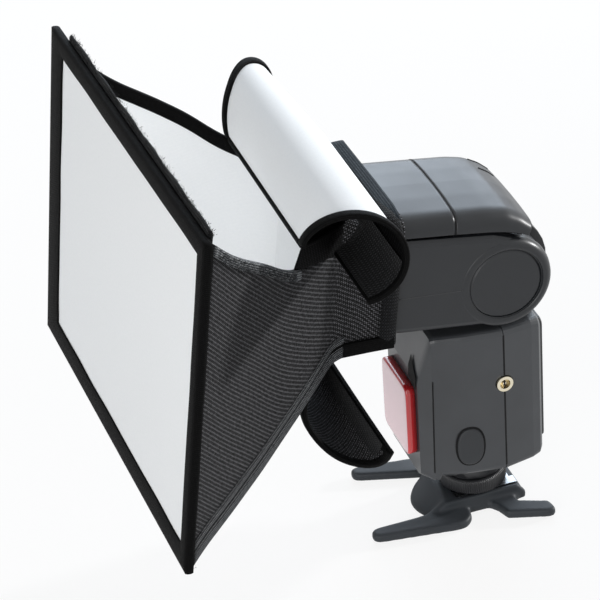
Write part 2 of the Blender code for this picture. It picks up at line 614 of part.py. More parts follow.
def build_softbox(frame):
    """Fabric box: a sleeve and its binding on the head, two sides, a bound front and hook tapes."""
    middle = (0.0, (COLLAR_LOW + COLLAR_HIGH) / 2)
    inner_half = (COLLAR_HALF, (COLLAR_HIGH - COLLAR_LOW) / 2)

    def sleeve(back, front, start, wall):
        def ring(x, grow):
            size = (inner_half[0] + grow, inner_half[1] + grow)
            return [on_axis(point, 0, x) for point in rounded(middle, size, 2.5 + grow)]
        places = ((back, start), (front, start), (front, start + wall), (back, start + wall))
        return skin([ring(*place) for place in places], loop=True)

    add_part("collar", sleeve(COLLAR_BACK, COLLAR_FRONT, 0.0, COLLAR_WALL), NYLON, frame)
    binding = sleeve(COLLAR_BACK - 0.5, COLLAR_BACK - 7.0, COLLAR_WALL + GAP, TAPE)
    add_part("collar_strap", binding, HOOK_TAPE, frame)

    for name, sign in (("side_panel_near", -1), ("side_panel_far", 1)):
        add_part(name, sheet(side_grid(sign), CLOTH), NYLON, frame)

    centre = (0.0, (BOX_LOW + BOX_HIGH) / 2)
    size = (BOX_HALF, (BOX_HIGH - BOX_LOW) / 2)
    back = BOX_FRONT + BINDING_DEPTH
    places = ((BOX_FRONT, 0.0), (back, 0.0), (back, BINDING_WIDTH), (BOX_FRONT, BINDING_WIDTH))
    rim = [[on_axis(p, 0, x) for p in rounded(centre, (size[0] - d, size[1] - d), 2.0, 2)] for x, d in places]
    add_part("front_binding", askew(skin(rim, loop=True)), NYLON, frame)
    white = [side - BINDING_WIDTH - GAP for side in size]
    panel = slab(rounded(centre, white, 1.6, 2), 0, BOX_FRONT + 0.4, BOX_FRONT + 0.4 + CLOTH)
    add_part("diffuser_panel", askew(panel), WHITE_CLOTH, frame)
    strip = (back + GAP, back + GAP + 1.2)
    for name, level in (("hook_strip_top", BOX_HIGH - 6.6), ("hook_strip_bottom", BOX_LOW + 0.6)):
        add_part(name, askew(block(strip, (-84.0, 84.0), (level, level + 6.0))), HOOK_TAPE, frame)


def askew(shape):
    """Set a piece of the front slightly out of square, its near edge further back than its far edge."""
    for vertex in shape.verts:
        vertex.co.x -= BOX_SKEW * vertex.co.y
    return shape


def curve_at(rows, share):
    """A value between the rows of a table whose first column rises."""
    return float(np.interp(share, [row[0] for row in rows], [row[1] for row in rows]))


def side_grid(sign):
    """Points of one side: from the sleeve's edge out to the front, between its two long edges."""
    rows, columns = 11, 5
    start_x, end_x = COLLAR_FRONT - 1.2, BOX_FRONT + BINDING_DEPTH + 2.2
    grid = []
    for i in range(rows):
        share = i / (rows - 1)
        top, bottom = curve_at(SIDE_TOP, share), curve_at(SIDE_BOTTOM, share)
        across = sign * between(COLLAR_HALF + 1.2, BOX_HALF - 3.0, share)
        x = between(start_x, end_x, share) - BOX_SKEW * across * share
        grid.append([(x, across, between(bottom, top, j / (columns - 1))) for j in range(columns)])
    return grid


def curl(seam, curl_row, inward):
    """A straight lead from a seam into an arc, as points of (x, height)."""
    lead_steps, arc_steps = 4, 18
    x, height, radius, start, end = curl_row
    bend = arc((x, height), radius - inward, start, end, arc_steps)
    lead = [[between(seam[k], bend[0][k], i / lead_steps) for k in (0, 1)] for i in range(lead_steps)]
    return np.array(lead + bend)


def top_grid(inward):
    """Points of the top flap. Its middle rests on the sleeve, its ends hang lower beside it, and it widens
    from the seam to its free edge.
    """
    middle, end = curl(TOP_SEAM, TOP_MIDDLE_CURL, inward), curl(TOP_SEAM, TOP_END_CURL, inward)
    half = np.interp(np.linspace(0.0, 1.0, len(end)), (0.0, 0.2, 0.6, 1.0), TOP_WIDTHS)
    right = np.array((0.25, 0.47, 0.58, 0.72, 0.86, 1.0))
    side = np.concatenate((-right[::-1], (0.0,), right))
    hang = np.interp(np.abs(side), (0.47, 0.58), (0.0, 1.0))
    place = middle[:, None, :] + (end - middle)[:, None, :] * hang[None, :, None]
    return np.stack((place[..., 0], half[:, None] * side, place[..., 1]), axis=2)


def bottom_grid(inward):
    """Points of the bottom flap, which hangs from its seam and curls back up. Each row is as wide as its half
    width, and lies the given distance inside the flap's own surface.
    """
    columns, steps = 6, 27
    rows = np.array(BOTTOM_ROWS)
    knots = np.arange(len(rows))
    spots = np.linspace(0.0, len(rows) - 1.0, steps)
    x, height, half = [np.interp(spots, knots, rows[:, k]) for k in range(3)]
    along = np.stack((np.gradient(x), np.gradient(height)))
    along /= np.linalg.norm(along, axis=0)
    x, height = x - inward * along[1], height + inward * along[0]
    side = np.linspace(-1.0, 1.0, columns + 1)
    flat = np.ones_like(side)
    return np.stack((np.outer(x, flat), np.outer(half, side), np.outer(height, flat)), axis=2)


def build_flaps(frame):
    """Top and bottom flaps, unfastened and curled back, with the loop tape along their free edges."""
    tape_depth = (CLOTH + TAPE) / 2 + GAP
    tape_share = 0.82
    for name, make, seam in (("top_flap", top_grid, TOP_SEAM), ("bottom_flap", bottom_grid, BOTTOM_ROWS[0])):
        origin = (seam[0], 0.0, seam[1])
        add_part(name, sheet(make(0.0), CLOTH), NYLON, frame, origin)
        inner = make(tape_depth)
        tape = inner[int(tape_share * len(inner)):]
        add_part(name + "_tape", sheet(tape, TAPE), HOOK_TAPE, frame, origin)


def main():
    clear_scene()
    body_frame = axis_frame("tilt_axis", (PIVOT_X, 0.0, PIVOT_Z))
    head_frame = axis_frame("head_lean", (0.0, 0.0, 0.0), body_frame, HEAD_TILT)
    build_stand(body_frame)
    build_foot(body_frame)
    build_body(body_frame)
    build_power(body_frame)
    build_back(body_frame)
    build_neck(body_frame)
    build_head(head_frame)
    build_lamp(head_frame)
    build_softbox(head_frame)
    build_flaps(head_frame)


main()
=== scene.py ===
"""Looks of a hot-shoe flash with a folding fabric softbox on a small shoe stand.

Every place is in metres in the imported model's own frame: +X to the flash's back, +Y to its far side, +Z up.
"""

import bpy
import numpy as np
from mathutils import Matrix


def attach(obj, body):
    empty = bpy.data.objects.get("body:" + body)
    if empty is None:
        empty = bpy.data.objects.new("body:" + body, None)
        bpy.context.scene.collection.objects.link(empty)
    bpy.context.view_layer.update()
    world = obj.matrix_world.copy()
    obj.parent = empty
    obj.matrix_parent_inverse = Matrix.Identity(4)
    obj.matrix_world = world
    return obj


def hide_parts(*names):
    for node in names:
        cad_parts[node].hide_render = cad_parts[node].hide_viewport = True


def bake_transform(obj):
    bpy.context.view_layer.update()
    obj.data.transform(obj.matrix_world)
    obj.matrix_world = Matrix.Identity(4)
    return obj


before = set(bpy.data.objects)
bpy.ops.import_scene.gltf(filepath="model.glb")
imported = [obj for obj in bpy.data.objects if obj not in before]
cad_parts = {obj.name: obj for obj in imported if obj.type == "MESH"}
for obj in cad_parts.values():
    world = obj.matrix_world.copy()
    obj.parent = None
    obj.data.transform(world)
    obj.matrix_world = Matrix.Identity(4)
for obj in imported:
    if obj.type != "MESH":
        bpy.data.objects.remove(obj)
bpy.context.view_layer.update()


# Stand. A four-legged foot moulded in one piece from dark ABS, with a fine matt mould texture. Its metal
# shoe is pressed into the hub, and a brass bush for a tripod screw is moulded in from below.
def tone(code):
    """One sRGB hex colour as a linear colour with full alpha."""
    parts = np.array([int(code[k:k + 2], 16) for k in (1, 3, 5)]) / 255
    flat = np.where(parts <= 0.04045, parts / 12.92, ((parts + 0.055) / 1.055) ** 2.4)
    return (*flat.tolist(), 1.0)


def add(tree, kind, inputs=None, **settings):
    """Add one node. Settings go on the node, and inputs on its sockets, as values or as links.

    A node that is given as an input links its first output.
    """
    node = tree.nodes.new(kind)
    for name, value in settings.items():
        setattr(node, name, value)
    for name, value in (inputs or {}).items():
        value = value.outputs[0] if isinstance(value, bpy.types.Node) else value
        if isinstance(value, bpy.types.NodeSocket):
            tree.links.new(value, node.inputs[name])
        else:
            node.inputs[name].default_value = value
    return node


def blank(name, **sockets):
    """A new material with its shader's fixed values set on the shader's own sockets."""
    material = bpy.data.materials.new(name)
    material.use_nodes = True
    tree = material.node_tree
    shader = tree.nodes["Principled BSDF"]
    for socket, value in sockets.items():
        shader.inputs[socket.replace("_", " ")].default_value = value
    return material, tree, shader


def feed(shader, **nodes):
    """Link the first output of each node to the shader's socket of that name."""
    for socket, node in nodes.items():
        shader.id_data.links.new(node.outputs[0], shader.inputs[socket.replace("_", " ")])


def moulded(name, dark, light, gloss, grain, depth, **sockets):
    """Moulded plastic: slow drift between two close tones, gloss that drifts with it, and a fine mould grain.

    The drift is about 18 mm wide. gloss is the lowest and highest roughness, grain the size of the mould
    texture in metres, and depth its height.
    """
    material, tree, shader = blank(name, **sockets)
    place = add(tree, "ShaderNodeTexCoord").outputs["Object"]
    drift = add(tree, "ShaderNodeTexNoise", {"Vector": place, "Scale": 55.0, "Detail": 3.0})
    fine = add(tree, "ShaderNodeTexNoise", {"Vector": place, "Scale": 1.0 / grain, "Detail": 2.0})
    colour = add(tree, "ShaderNodeMixRGB", {"Fac": drift, "Color1": tone(dark), "Color2": tone(light)})
    rough = add(tree, "ShaderNodeMapRange", {"Value": drift, "From Min": 0.3, "From Max": 0.7,
                                             "To Min": gloss[0], "To Max": gloss[1]})
    bump = add(tree, "ShaderNodeBump", {"Height": fine, "Strength": 0.35, "Distance": depth})
    feed(shader, Base_Color=colour, Roughness=rough, Normal=bump)
    return material


def dress(material, *names):
    """Give carried-over solids a finish."""
    for name in names:
        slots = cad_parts[name].data.materials
        slots.clear()
        slots.append(material)


# Grain of spark-eroded ABS is about 0.1 mm; it is drawn at 0.6 mm so that it shows in the picture.
stand_abs = moulded("stand_abs", "#2b2e31", "#363a3f", (0.5, 0.62), 0.0006, 0.00006,
                    IOR=1.53, Specular_IOR_Level=0.28)
dress(stand_abs, "stand_base")
# The mould's edges are soft: a copy of the foot is remeshed in small cells and its corners are averaged away.
STAND_CELL, STAND_ROUNDS = 0.0009, 7
stand_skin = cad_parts["stand_base"].copy()
stand_skin.data = stand_skin.data.copy()
stand_skin.name = stand_skin.data.name = "stand_skin"
bpy.context.scene.collection.objects.link(stand_skin)
cells = stand_skin.modifiers.new("cells", "REMESH")
cells.mode, cells.voxel_size, cells.use_smooth_shade = "VOXEL", STAND_CELL, True
soften = stand_skin.modifiers.new("soften", "SMOOTH")
soften.factor, soften.iterations = 0.5, STAND_ROUNDS
evaluated = stand_skin.evaluated_get(bpy.context.evaluated_depsgraph_get())
rounded = bpy.data.meshes.new_from_object(evaluated)
rounded.name = "stand_skin"
# The hub has a round nose: in front of NOSE_START the corners of its ramp are drawn back by up to NOSE_BACK, as
# the square of the way across. The legs beside it stay: in the feet's own frame, in millimetres from the shoe's
# middle, they lie beyond a line that starts at LEG_LINE and closes in by LEG_SLOPE.
NOSE_START, NOSE_RUN, NOSE_HALF, NOSE_BACK = 0.0515, 0.012, 0.0145, 0.007
SHOE_X, FEET_TURN, LEG_LINE, LEG_SLOPE, LEG_EASE = 69.34, np.radians(-8.5), 11.96, 0.18, 2.5
spots = np.empty(3 * len(rounded.vertices), np.float32)
rounded.vertices.foreach_get("co", spots)
spots = spots.reshape(-1, 3)
ahead = np.clip((NOSE_START - spots[:, 0]) / NOSE_RUN, 0, 1)
x, y = 1000 * spots[:, 0] - SHOE_X, 1000 * spots[:, 1]
leg_x = x * np.cos(FEET_TURN) + y * np.sin(FEET_TURN)
leg_y = np.abs(y * np.cos(FEET_TURN) - x * np.sin(FEET_TURN))
free = np.clip((LEG_LINE - LEG_SLOPE * leg_x - leg_y) / LEG_EASE, 0, 1)
spots[:, 0] += NOSE_BACK * (spots[:, 1] / NOSE_HALF) ** 2 * ahead * free
rounded.vertices.foreach_set("co", spots.ravel())
stand_skin.modifiers.clear()
stand_skin.data = rounded
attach(stand_skin, "stand")
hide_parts("stand_base")


def metal(name, dark, light, gloss, streak):
    """Bare metal: fine lines along X from machining or rolling, streak metres apart, with two close tones."""
    material, tree, shader = blank(name, Metallic=1.0)
    place = add(tree, "ShaderNodeTexCoord").outputs["Object"]
    stretched = add(tree, "ShaderNodeMapping", {"Vector": place, "Scale": (40.0, 1.0 / streak, 1.0 / streak)})
    lines = add(tree, "ShaderNodeTexNoise", {"Vector": stretched, "Scale": 1.0, "Detail": 2.0})
    colour = add(tree, "ShaderNodeMixRGB", {"Fac": lines, "Color1": tone(dark), "Color2": tone(light)})
    rough = add(tree, "ShaderNodeMapRange", {"Value": lines, "To Min": gloss[0], "To Max": gloss[1]})
    feed(shader, Base_Color=colour, Roughness=rough)
    return material


# Rolled steel of the shoe and turned brass of the bush: lines 0.4 mm apart, drawn coarser than they are.
rolled_steel = metal("rolled_steel", "#8e9194", "#b6b9bc", (0.22, 0.4), 0.0004)
turned_brass = metal("turned_brass", "#b08d4a", "#d9bd7c", (0.2, 0.38), 0.0004)
dress(rolled_steel, "stand_shoe")
dress(turned_brass, "tripod_bush")

# Foot. A steel plate with brass contact pins that slides into the stand's shoe. It is fixed under a black ABS
# pedestal, and a knurled ring of the same plastic turns on the pedestal and clamps it.
dark_abs = moulded("dark_abs", "#1d1e20", "#27282b", (0.38, 0.52), 0.0005, 0.00005, IOR=1.53)
dress(rolled_steel, "shoe_foot")
dress(turned_brass, "contact_pins")
dress(dark_abs, "pedestal")
# The head's tilt axis in the model, in millimetres.
AXIS_X, AXIS_Z = 76.34, 130.0
# The four corners of the cells of a grid, in order round each cell.
CORNERS = [np.s_[:-1, :-1], np.s_[1:, :-1], np.s_[1:, 1:], np.s_[:-1, 1:]]


def placed(x, y, z):
    """Millimetres from the tilt axis in the body's upright frame, as metres in the model."""
    x, y, z = np.broadcast_arrays(np.asarray(x, float), y, z)
    return 0.001 * np.stack((x + AXIS_X, y, z + AXIS_Z), axis=-1)


def around(count):
    """Angles at even steps round a circle."""
    return np.linspace(0, 2 * np.pi, count, endpoint=False)


def put(name, data):
    """A new object for a mesh, a lamp or a camera, linked to the scene."""
    thing = bpy.data.objects.new(name, data)
    bpy.context.scene.collection.objects.link(thing)
    return thing


def surface(name, points, looks, flip=None, wrap=(False, False)):
    """A mesh of quads over a grid of points, with a map in metres: distance along the rows and the columns.

    The map is nought in the middle of each row. wrap joins the last row or column to the first. flip turns the
    faces over; a closed piece leaves it out, and its faces are turned outwards by the sign of its volume.
    """
    rows, columns = points.shape[:2]
    index = np.arange(rows * columns).reshape(rows, columns)
    index = np.vstack((index, index[:1])) if wrap[0] else index
    index = np.hstack((index, index[:, :1])) if wrap[1] else index
    place = points.reshape(-1, 3)[index]
    if flip is None:
        a, b, c, d = (place[k] - place.mean(axis=(0, 1)) for k in CORNERS)
        flip = ((a * np.cross(b, c)).sum() + (a * np.cross(c, d)).sum()) < 0
    corners = CORNERS[::-1] if flip else CORNERS
    down = np.linalg.norm(np.diff(place, axis=0), axis=2).mean(axis=1)
    over = np.linalg.norm(np.diff(place, axis=1), axis=2)
    along = np.concatenate(([0.0], np.cumsum(down)))[:, None] * np.ones(index.shape[1])
    across = np.concatenate((np.zeros((index.shape[0], 1)), np.cumsum(over, axis=1)), axis=1)
    across = across - 0.5 * across[:, -1:]
    quads = np.stack([index[k] for k in corners], axis=-1).reshape(-1, 4)
    chart = np.stack([np.stack((across[k], along[k]), axis=-1) for k in corners], axis=-2)
    mesh = bpy.data.meshes.new(name)
    mesh.from_pydata(points.reshape(-1, 3).tolist(), [], quads.tolist())
    mesh.uv_layers.new(name="cloth").data.foreach_set("uv", chart.ravel().astype(np.float32))
    mesh.shade_smooth()
    for look in looks:
        mesh.materials.append(look)
    return put(name, mesh)


# The ring's knurl: fine ribs round a turned rim, whose outline is given as (radius, height).
RIBS, RIB_HEIGHT, RIBBED_FROM, RING_X = 96, 0.28, 15.0, -7.0
turn = around(6 * RIBS)[:, None]
rim = np.array(((11.6, -120.7), (14.2, -120.7), (14.7, -120.5), (15.3, -119.9), (15.5, -119.4),
                (15.5, -114.6), (15.3, -114.1), (14.7, -113.5), (14.2, -113.3), (11.6, -113.3)))
reach = rim[None, :, 0] + RIB_HEIGHT * np.cos(RIBS * turn) * (rim[None, :, 0] > RIBBED_FROM)
points = placed(RING_X + reach * np.cos(turn), reach * np.sin(turn), rim[None, :, 1])
knurl = surface("lock_ring_knurl", points, (dark_abs,), wrap=(True, True))
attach(knurl, "lock_ring")
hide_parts("lock_ring")

# Body. Two shells of satin black-grey ABS that meet at a seam round the widest part; they are screwed
# together from inside. The satin moulding has a low even sheen. Its seams, gaps and slots are painted
# dead black as shade.
satin_abs = moulded("satin_abs", "#1f2124", "#282a2d", (0.3, 0.4), 0.0005, 0.00004,
                    IOR=1.53, Specular_IOR_Level=0.36)
# The body's shells: the same satin ABS as the head, painted lighter for the light that falls on the body.
lit_body_abs = moulded("lit_body_abs", "#35373a", "#414346", (0.3, 0.4), 0.0005, 0.00004,
                   IOR=1.53, Specular_IOR_Level=0.4)
dress(lit_body_abs, "body_front_shell", "body_rear_shell")
# Dead black for the painted shade in seams, gaps, notches and slots.
painted_shade_black = moulded("painted_shade_black", "#050506", "#0d0d0e", (0.8, 0.95), 0.0008, 0.00005, IOR=1.4)
# The model's own directions: to the flash's back, to its far side and up.
BACK, FAR, UP = np.eye(3)


def unit(vectors):
    """Vectors divided by their own lengths."""
    return vectors / np.linalg.norm(vectors, axis=-1, keepdims=True)


def powered(values, power):
    """Values raised to a power with their signs kept, which squares off a round outline."""
    return np.sign(values) * np.abs(values) ** power


def tape(name, path, across, normal, width, thickness, look, closed=False):
    """A flat tape carried along a path, run to a point at open ends.

    Its section is a superellipse: half the width across times the cosine to the power 0.45, and half the
    thickness along the normal times the sine to the power 0.7.
    """
    turn = around(18)
    a = powered(np.cos(turn), 0.45) * width / 2
    b = powered(np.sin(turn), 0.7) * thickness / 2
    across, normal = np.broadcast_to(across, path.shape), np.broadcast_to(normal, path.shape)
    points = path[:, None] + a[None, :, None] * across[:, None] + b[None, :, None] * normal[:, None]
    if not closed:
        points = np.concatenate((path[:1, None] + 0 * points[:1], points, path[-1:, None] + 0 * points[-1:]))
    return surface(name, points, (look,), wrap=(closed, True))


# Black strips paint the shade in the seam between the shells and in a groove that runs down beside the window.
seam = tape("body_seam_shade", placed(-2.0, -31.4, np.linspace(-95.0, -26.0, 12)), BACK, -FAR, 0.0008, 0.0003,
            painted_shade_black)
groove_shade = tape("front_groove_shade", placed(*np.linspace((-33.2, -24.75, -46.0), (-33.9, -24.5, -95.0), 12).T),
              (0.63, -0.78, 0.0), (-0.78, -0.63, 0.0), 0.0007, 0.0003, painted_shade_black)
# Above the window the shell is cut back in a notch that narrows upwards. Its shade is painted as a dark patch
# drawn just proud of the shell.
NOTCH_LIFT = np.array((0.4, 0.2, 0.0))
left = np.array(((-36.85, -9.3, -39.0), (-38.15, -8.4, -44.8), (-38.6, -8.8, -50.2), (-38.6, -15.6, -52.4)))
right = np.array(((-36.85, -9.7, -39.0), (-37.9, -14.6, -43.6), (-38.4, -18.2, -46.2), (-38.6, -18.2, -52.4)))
over = np.linspace(0, 1, 6)[None, :, None]
points = left[:, None] * (1 - over) + right[:, None] * over - NOTCH_LIFT
notch = surface("window_notch_shade", placed(*np.moveaxis(points, -1, 0)), (painted_shade_black,), flip=True)
for strip in (seam, groove_shade, notch):
    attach(strip, "flash_body")

# Window. A filter moulded in red acrylic on the body's front, which passes the focus lamp and the slave cell
# behind it. It is polished, and set into the shell so that it stands proud.
red_acrylic, tree, shader = blank("red_acrylic", IOR=1.49, Coat_Weight=0.6, Coat_Roughness=0.04)
chart = add(tree, "ShaderNodeTexCoord").outputs
haze = add(tree, "ShaderNodeTexNoise", {"Vector": chart["Object"], "Scale": 90.0, "Detail": 2.0})
deep = add(tree, "ShaderNodeMixRGB", {"Fac": haze, "Color1": tone("#bd1a21"), "Color2": tone("#d43236")})
# The flat face is painted paler than the edges: a painted reflection of the bright surround, with the light
# cell's white well behind it.
facing = add(tree, "ShaderNodeSeparateXYZ", {"Vector": chart["Normal"]})
face = add(tree, "ShaderNodeMapRange", {"Value": facing, "From Min": -0.9, "From Max": -0.99})
painted_reflection = add(tree, "ShaderNodeMixRGB", {"Fac": face, "Color1": deep, "Color2": tone("#dcb2b9")})
rough = add(tree, "ShaderNodeMapRange", {"Value": haze, "To Min": 0.06, "To Max": 0.14})
feed(shader, Base_Color=painted_reflection, Roughness=rough)
# A block with eased edges: a rounded outline carried from its back to its face. Each step is a place along X,
# how far the outline is drawn in, and 0 where it closes to a point.
WINDOW_HALF_Y, WINDOW_HALF_Z, WINDOW_Z = 15.8, 18.3, -71.5
steps = np.array(((-38.5, 0.0, 0.0), (-38.5, 0.0, 1.0), (-42.0, 0.0, 1.0), (-42.6, 0.25, 1.0),
                  (-42.8, 0.9, 1.0), (-42.8, 2.4, 1.0), (-42.8, 0.0, 0.0)))
depth, drawn_in, spread = steps.T[:, :, None]
turn = around(120)
outline = powered(np.stack((np.cos(turn), np.sin(turn))), 0.2)
points = placed(depth, spread * (WINDOW_HALF_Y - drawn_in) * outline[0],
                WINDOW_Z + spread * (WINDOW_HALF_Z - drawn_in) * outline[1])
window_block = surface("window_block", points, (red_acrylic,), wrap=(False, True))
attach(window_block, "flash_body")
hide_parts("front_window")

# Lamp and cell behind the window. The lamp's lens is moulded in clear polycarbonate with prism lines, and the
# cell is a black eye; both are fixed inside the front shell.
clear_plastic, tree, shader = blank("clear_polycarbonate", IOR=1.58, Transmission_Weight=0.55)
place = add(tree, "ShaderNodeTexCoord").outputs["Object"]
leaning = add(tree, "ShaderNodeMapping", {"Vector": place, "Rotation": (0.0, np.radians(-8.5), 0.0)})
# Prism lines of the lens are about 0.5 mm apart; they are drawn 2 mm apart.
prism = add(tree, "ShaderNodeTexWave", {"Vector": leaning, "Scale": 160.0}, bands_direction="Z").outputs["Fac"]
colour = add(tree, "ShaderNodeMixRGB", {"Fac": prism, "Color1": tone("#b9bfc4"), "Color2": tone("#eef1f3")})
bump = add(tree, "ShaderNodeBump", {"Height": prism, "Strength": 0.5, "Distance": 0.0003})
rough = add(tree, "ShaderNodeMapRange", {"Value": prism, "To Min": 0.05, "To Max": 0.15})
feed(shader, Base_Color=colour, Normal=bump, Roughness=rough)
dress(clear_plastic, "assist_lamp")
dress(dark_abs, "slave_sensor", "side_port")

# Sockets. A gold-plated flash lead socket sits on the seam, and an oval cover of soft matt rubber closes the
# port below it. The cover is moulded as a low dome and swings on a hinge.
gold_plate = metal("gold_plate", "#cfc4a6", "#efe8d6", (0.15, 0.3), 0.0006)
dress(gold_plate, "sync_socket")
soft_rubber = moulded("soft_rubber", "#25272a", "#2e3033", (0.48, 0.6), 0.0005, 0.00005,
                      IOR=1.5, Specular_IOR_Level=0.4)
# The cover's middle on the body's near side, and that side's own directions: along it and out of it.
COVER_AT = np.array((-18.0, -28.95, -82.0))
SIDE_ALONG, SIDE_OUT = np.array((0.988, -0.155, 0.0)), np.array((-0.155, -0.988, 0.0))


def oval(lift, turn, half_x, half_z, height):
    """A low oval dome on the body's near side: an oval scaled by the sine of lift and raised by its cosine."""
    reach, rise = np.sin(lift) ** 0.4, height * np.cos(lift) ** 0.5
    a = half_x * reach * powered(np.cos(turn), 0.85)
    b = half_z * reach * powered(np.sin(turn), 0.85)
    return COVER_AT + a[..., None] * SIDE_ALONG + rise[..., None] * SIDE_OUT + b[..., None] * UP


lift, turn = np.meshgrid(np.linspace(0, np.pi / 2, 18), around(80), indexing="ij")
dome = oval(lift, turn, 6.0, 9.6, 1.3)
back = dome[-1:] - 0.5 * SIDE_OUT
dome = np.concatenate((dome, back, back.mean(axis=1, keepdims=True) + 0 * back))
cover = surface("port_cover_dome", placed(*np.moveaxis(dome, -1, 0)), (soft_rubber,), wrap=(False, True))
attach(cover, "port_cover")
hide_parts("port_cover")
# A black ring of painted shade marks the gap round the cover.
rim = oval(np.full(80, np.pi / 2), turn[0], 6.4, 10.0, 0.0)
shadow_gap = tape("port_cover_gap", placed(*rim.T), unit(rim - rim.mean(axis=0)), SIDE_OUT, 0.0009, 0.0003,
                  painted_shade_black, closed=True)
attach(shadow_gap, "flash_body")

# Power. Four cells in shiny film wrap stand in a black tray behind the door, between spring contacts. A
# capacitor in a blue film sleeve and a board of glass epoxy are fixed inside the shells.
dress(lit_body_abs, "battery_door")
dress(dark_abs, "battery_tray")
cell_wrap = moulded("cell_wrap", "#33363c", "#4a4e55", (0.25, 0.4), 0.002, 0.00002, Metallic=0.2)
dress(cell_wrap, "battery_cell_1", "battery_cell_2", "battery_cell_3", "battery_cell_4")
dress(turned_brass, "battery_contacts")
sleeve_film = moulded("sleeve_film", "#161d38", "#222b4d", (0.25, 0.38), 0.0015, 0.00003, IOR=1.53)
dress(sleeve_film, "main_capacitor")
board_glass, tree, shader = blank("board_glass_epoxy", Roughness=0.45)
place = add(tree, "ShaderNodeTexCoord").outputs["Object"]
# Copper tracks 1.5 mm apart under green lacquer.
tracks = add(tree, "ShaderNodeTexBrick",
             {"Vector": place, "Scale": 160.0, "Color1": tone("#1c5c3b"), "Color2": tone("#21683f"),
              "Mortar": tone("#3f8a55"), "Mortar Size": 0.05})
feed(shader, Base_Color=tracks)
dress(board_glass, "main_board")

# Back. A black ABS control panel set into the rear shell, with a grey-green display under a glossy acrylic
# cover, rubber keys and a slide switch.
dress(dark_abs, "back_panel")
display_cover, tree, shader = blank("display_cover", IOR=1.49, Coat_Weight=0.5, Coat_Roughness=0.05)
place = add(tree, "ShaderNodeTexCoord").outputs["Object"]
cloud = add(tree, "ShaderNodeTexNoise", {"Vector": place, "Scale": 60.0, "Detail": 2.0})
colour = add(tree, "ShaderNodeMixRGB", {"Fac": cloud, "Color1": tone("#5d6a5c"), "Color2": tone("#6f7d6c")})
rough = add(tree, "ShaderNodeMapRange", {"Value": cloud, "To Min": 0.08, "To Max": 0.16})
feed(shader, Base_Color=colour, Roughness=rough)
dress(display_cover, "display_window")
dress(soft_rubber, "test_button", "mode_button", "select_button", "power_switch")

# Neck. A satin ABS barrel between the head's cheeks. Its stem turns in the body on a steel washer, and a steel
# axle pins the cheeks to it.
dress(satin_abs, "neck")
dress(rolled_steel, "swivel_retainer", "tilt_axle")

# Head. A lower shell with two round cheeks and a lid in two parts, in the neck's satin ABS. Pivot caps snap
# into the cheeks, and a black bezel holds the ribbed lens.
dress(satin_abs, "head_shell", "pivot_cap_near", "pivot_cap_far")
LEAN = np.radians(8.5)
BOTH_SIDES = (("near", -1), ("far", 1))


def leaned(x, y, z):
    """Head-frame millimetres as metres in the model: turned by the head's lean about the tilt axis."""
    x, y, z = np.broadcast_arrays(np.asarray(x, float), y, z)
    across, height = x * np.cos(LEAN) + z * np.sin(LEAN), z * np.cos(LEAN) - x * np.sin(LEAN)
    return placed(across, y, height)


def eased(rows, share):
    """A smooth curve through a table of (share, value): its straight runs averaged over a short stretch."""
    knots, values = np.array(rows, float).T
    slopes = np.diff(values) / np.diff(knots)
    knots = np.concatenate(((knots[0] - 1,), knots, (knots[-1] + 1,)))
    values = np.concatenate(((values[0] - slopes[0],), values, (values[-1] + slopes[-1],)))
    return np.interp(share[..., None] + np.linspace(-0.05, 0.05, 11), knots, values).mean(axis=-1)


# Lid: a crowned section that rolls over at both sides, carried from the front to the back slope. The section's
# tables give the share of the half width and of the fall for each way across, and each row of the lid gives
# the way along, the crown's x and z and the edge's x and z.
LID_HALF, LID_WALL = 28.4, 0.0018
LID_ACROSS = ((0.0, 0.0), (0.35, 0.42), (0.7, 0.82), (0.83, 0.95), (0.92, 0.995), (1.0, 1.0))
LID_FALL = ((0.0, 0.0), (0.35, 0.03), (0.7, 0.14), (0.83, 0.32), (0.92, 0.62), (1.0, 1.0))
LID_ROWS = {"front": ((0.0, -80.0, 33.8, -80.0, 26.3), (1.0, -26.15, 33.8, -26.15, 26.0)),
            "rear": ((0.0, -25.85, 33.8, -25.85, 26.0), (0.38, -10.0, 33.8, -10.0, 25.6),
                     (0.58, -2.0, 32.8, -3.0, 25.0), (0.78, 4.5, 29.8, 3.0, 23.9),
                     (1.0, 10.2, 25.6, 8.0, 22.4))}


def lid_skin(end, along, across):
    """A point of the lid, for the way across its crown from -1 to 1 and the way along its rows from 0 to 1."""
    rows = np.array(LID_ROWS[end])
    crown_x, crown_z, edge_x, edge_z = [eased(rows[:, (0, k)], along) for k in range(1, 5)]
    fall = np.clip(eased(LID_FALL, np.abs(across)), 0, 1)
    width = LID_HALF * np.sign(across) * np.clip(eased(LID_ACROSS, np.abs(across)), 0, 1)
    return leaned(crown_x + (edge_x - crown_x) * fall, width, crown_z + (edge_z - crown_z) * fall)


for end in LID_ROWS:
    along, across = np.meshgrid(np.linspace(0, 1, 40), np.linspace(-1, 1, 121), indexing="ij")
    lid = surface(f"head_lid_{end}_skin", lid_skin(end, along, across), (satin_abs,), flip=True)
    # The wall grows outwards from these points.
    wall = lid.modifiers.new("wall", "SOLIDIFY")
    wall.thickness = LID_WALL
    wall.offset = -1.0
    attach(lid, "head")
    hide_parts(f"head_lid_{end}")
# A dark rib stands inside both lower edges of the lid and closes its joint with the shell.
RIB_OUT = 25.5
edges = np.concatenate([np.array(rows)[:, 3:] for rows in LID_ROWS.values()])
along = np.linspace(-77.0, 6.5, 40)
for side, sign in BOTH_SIDES:
    path = leaned(along, RIB_OUT * sign, np.interp(along, edges[:, 0], edges[:, 1]))
    rib = tape(f"lid_rib_{side}", path, UP, FAR, 0.005, 0.001, dark_abs)
    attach(rib, "head")
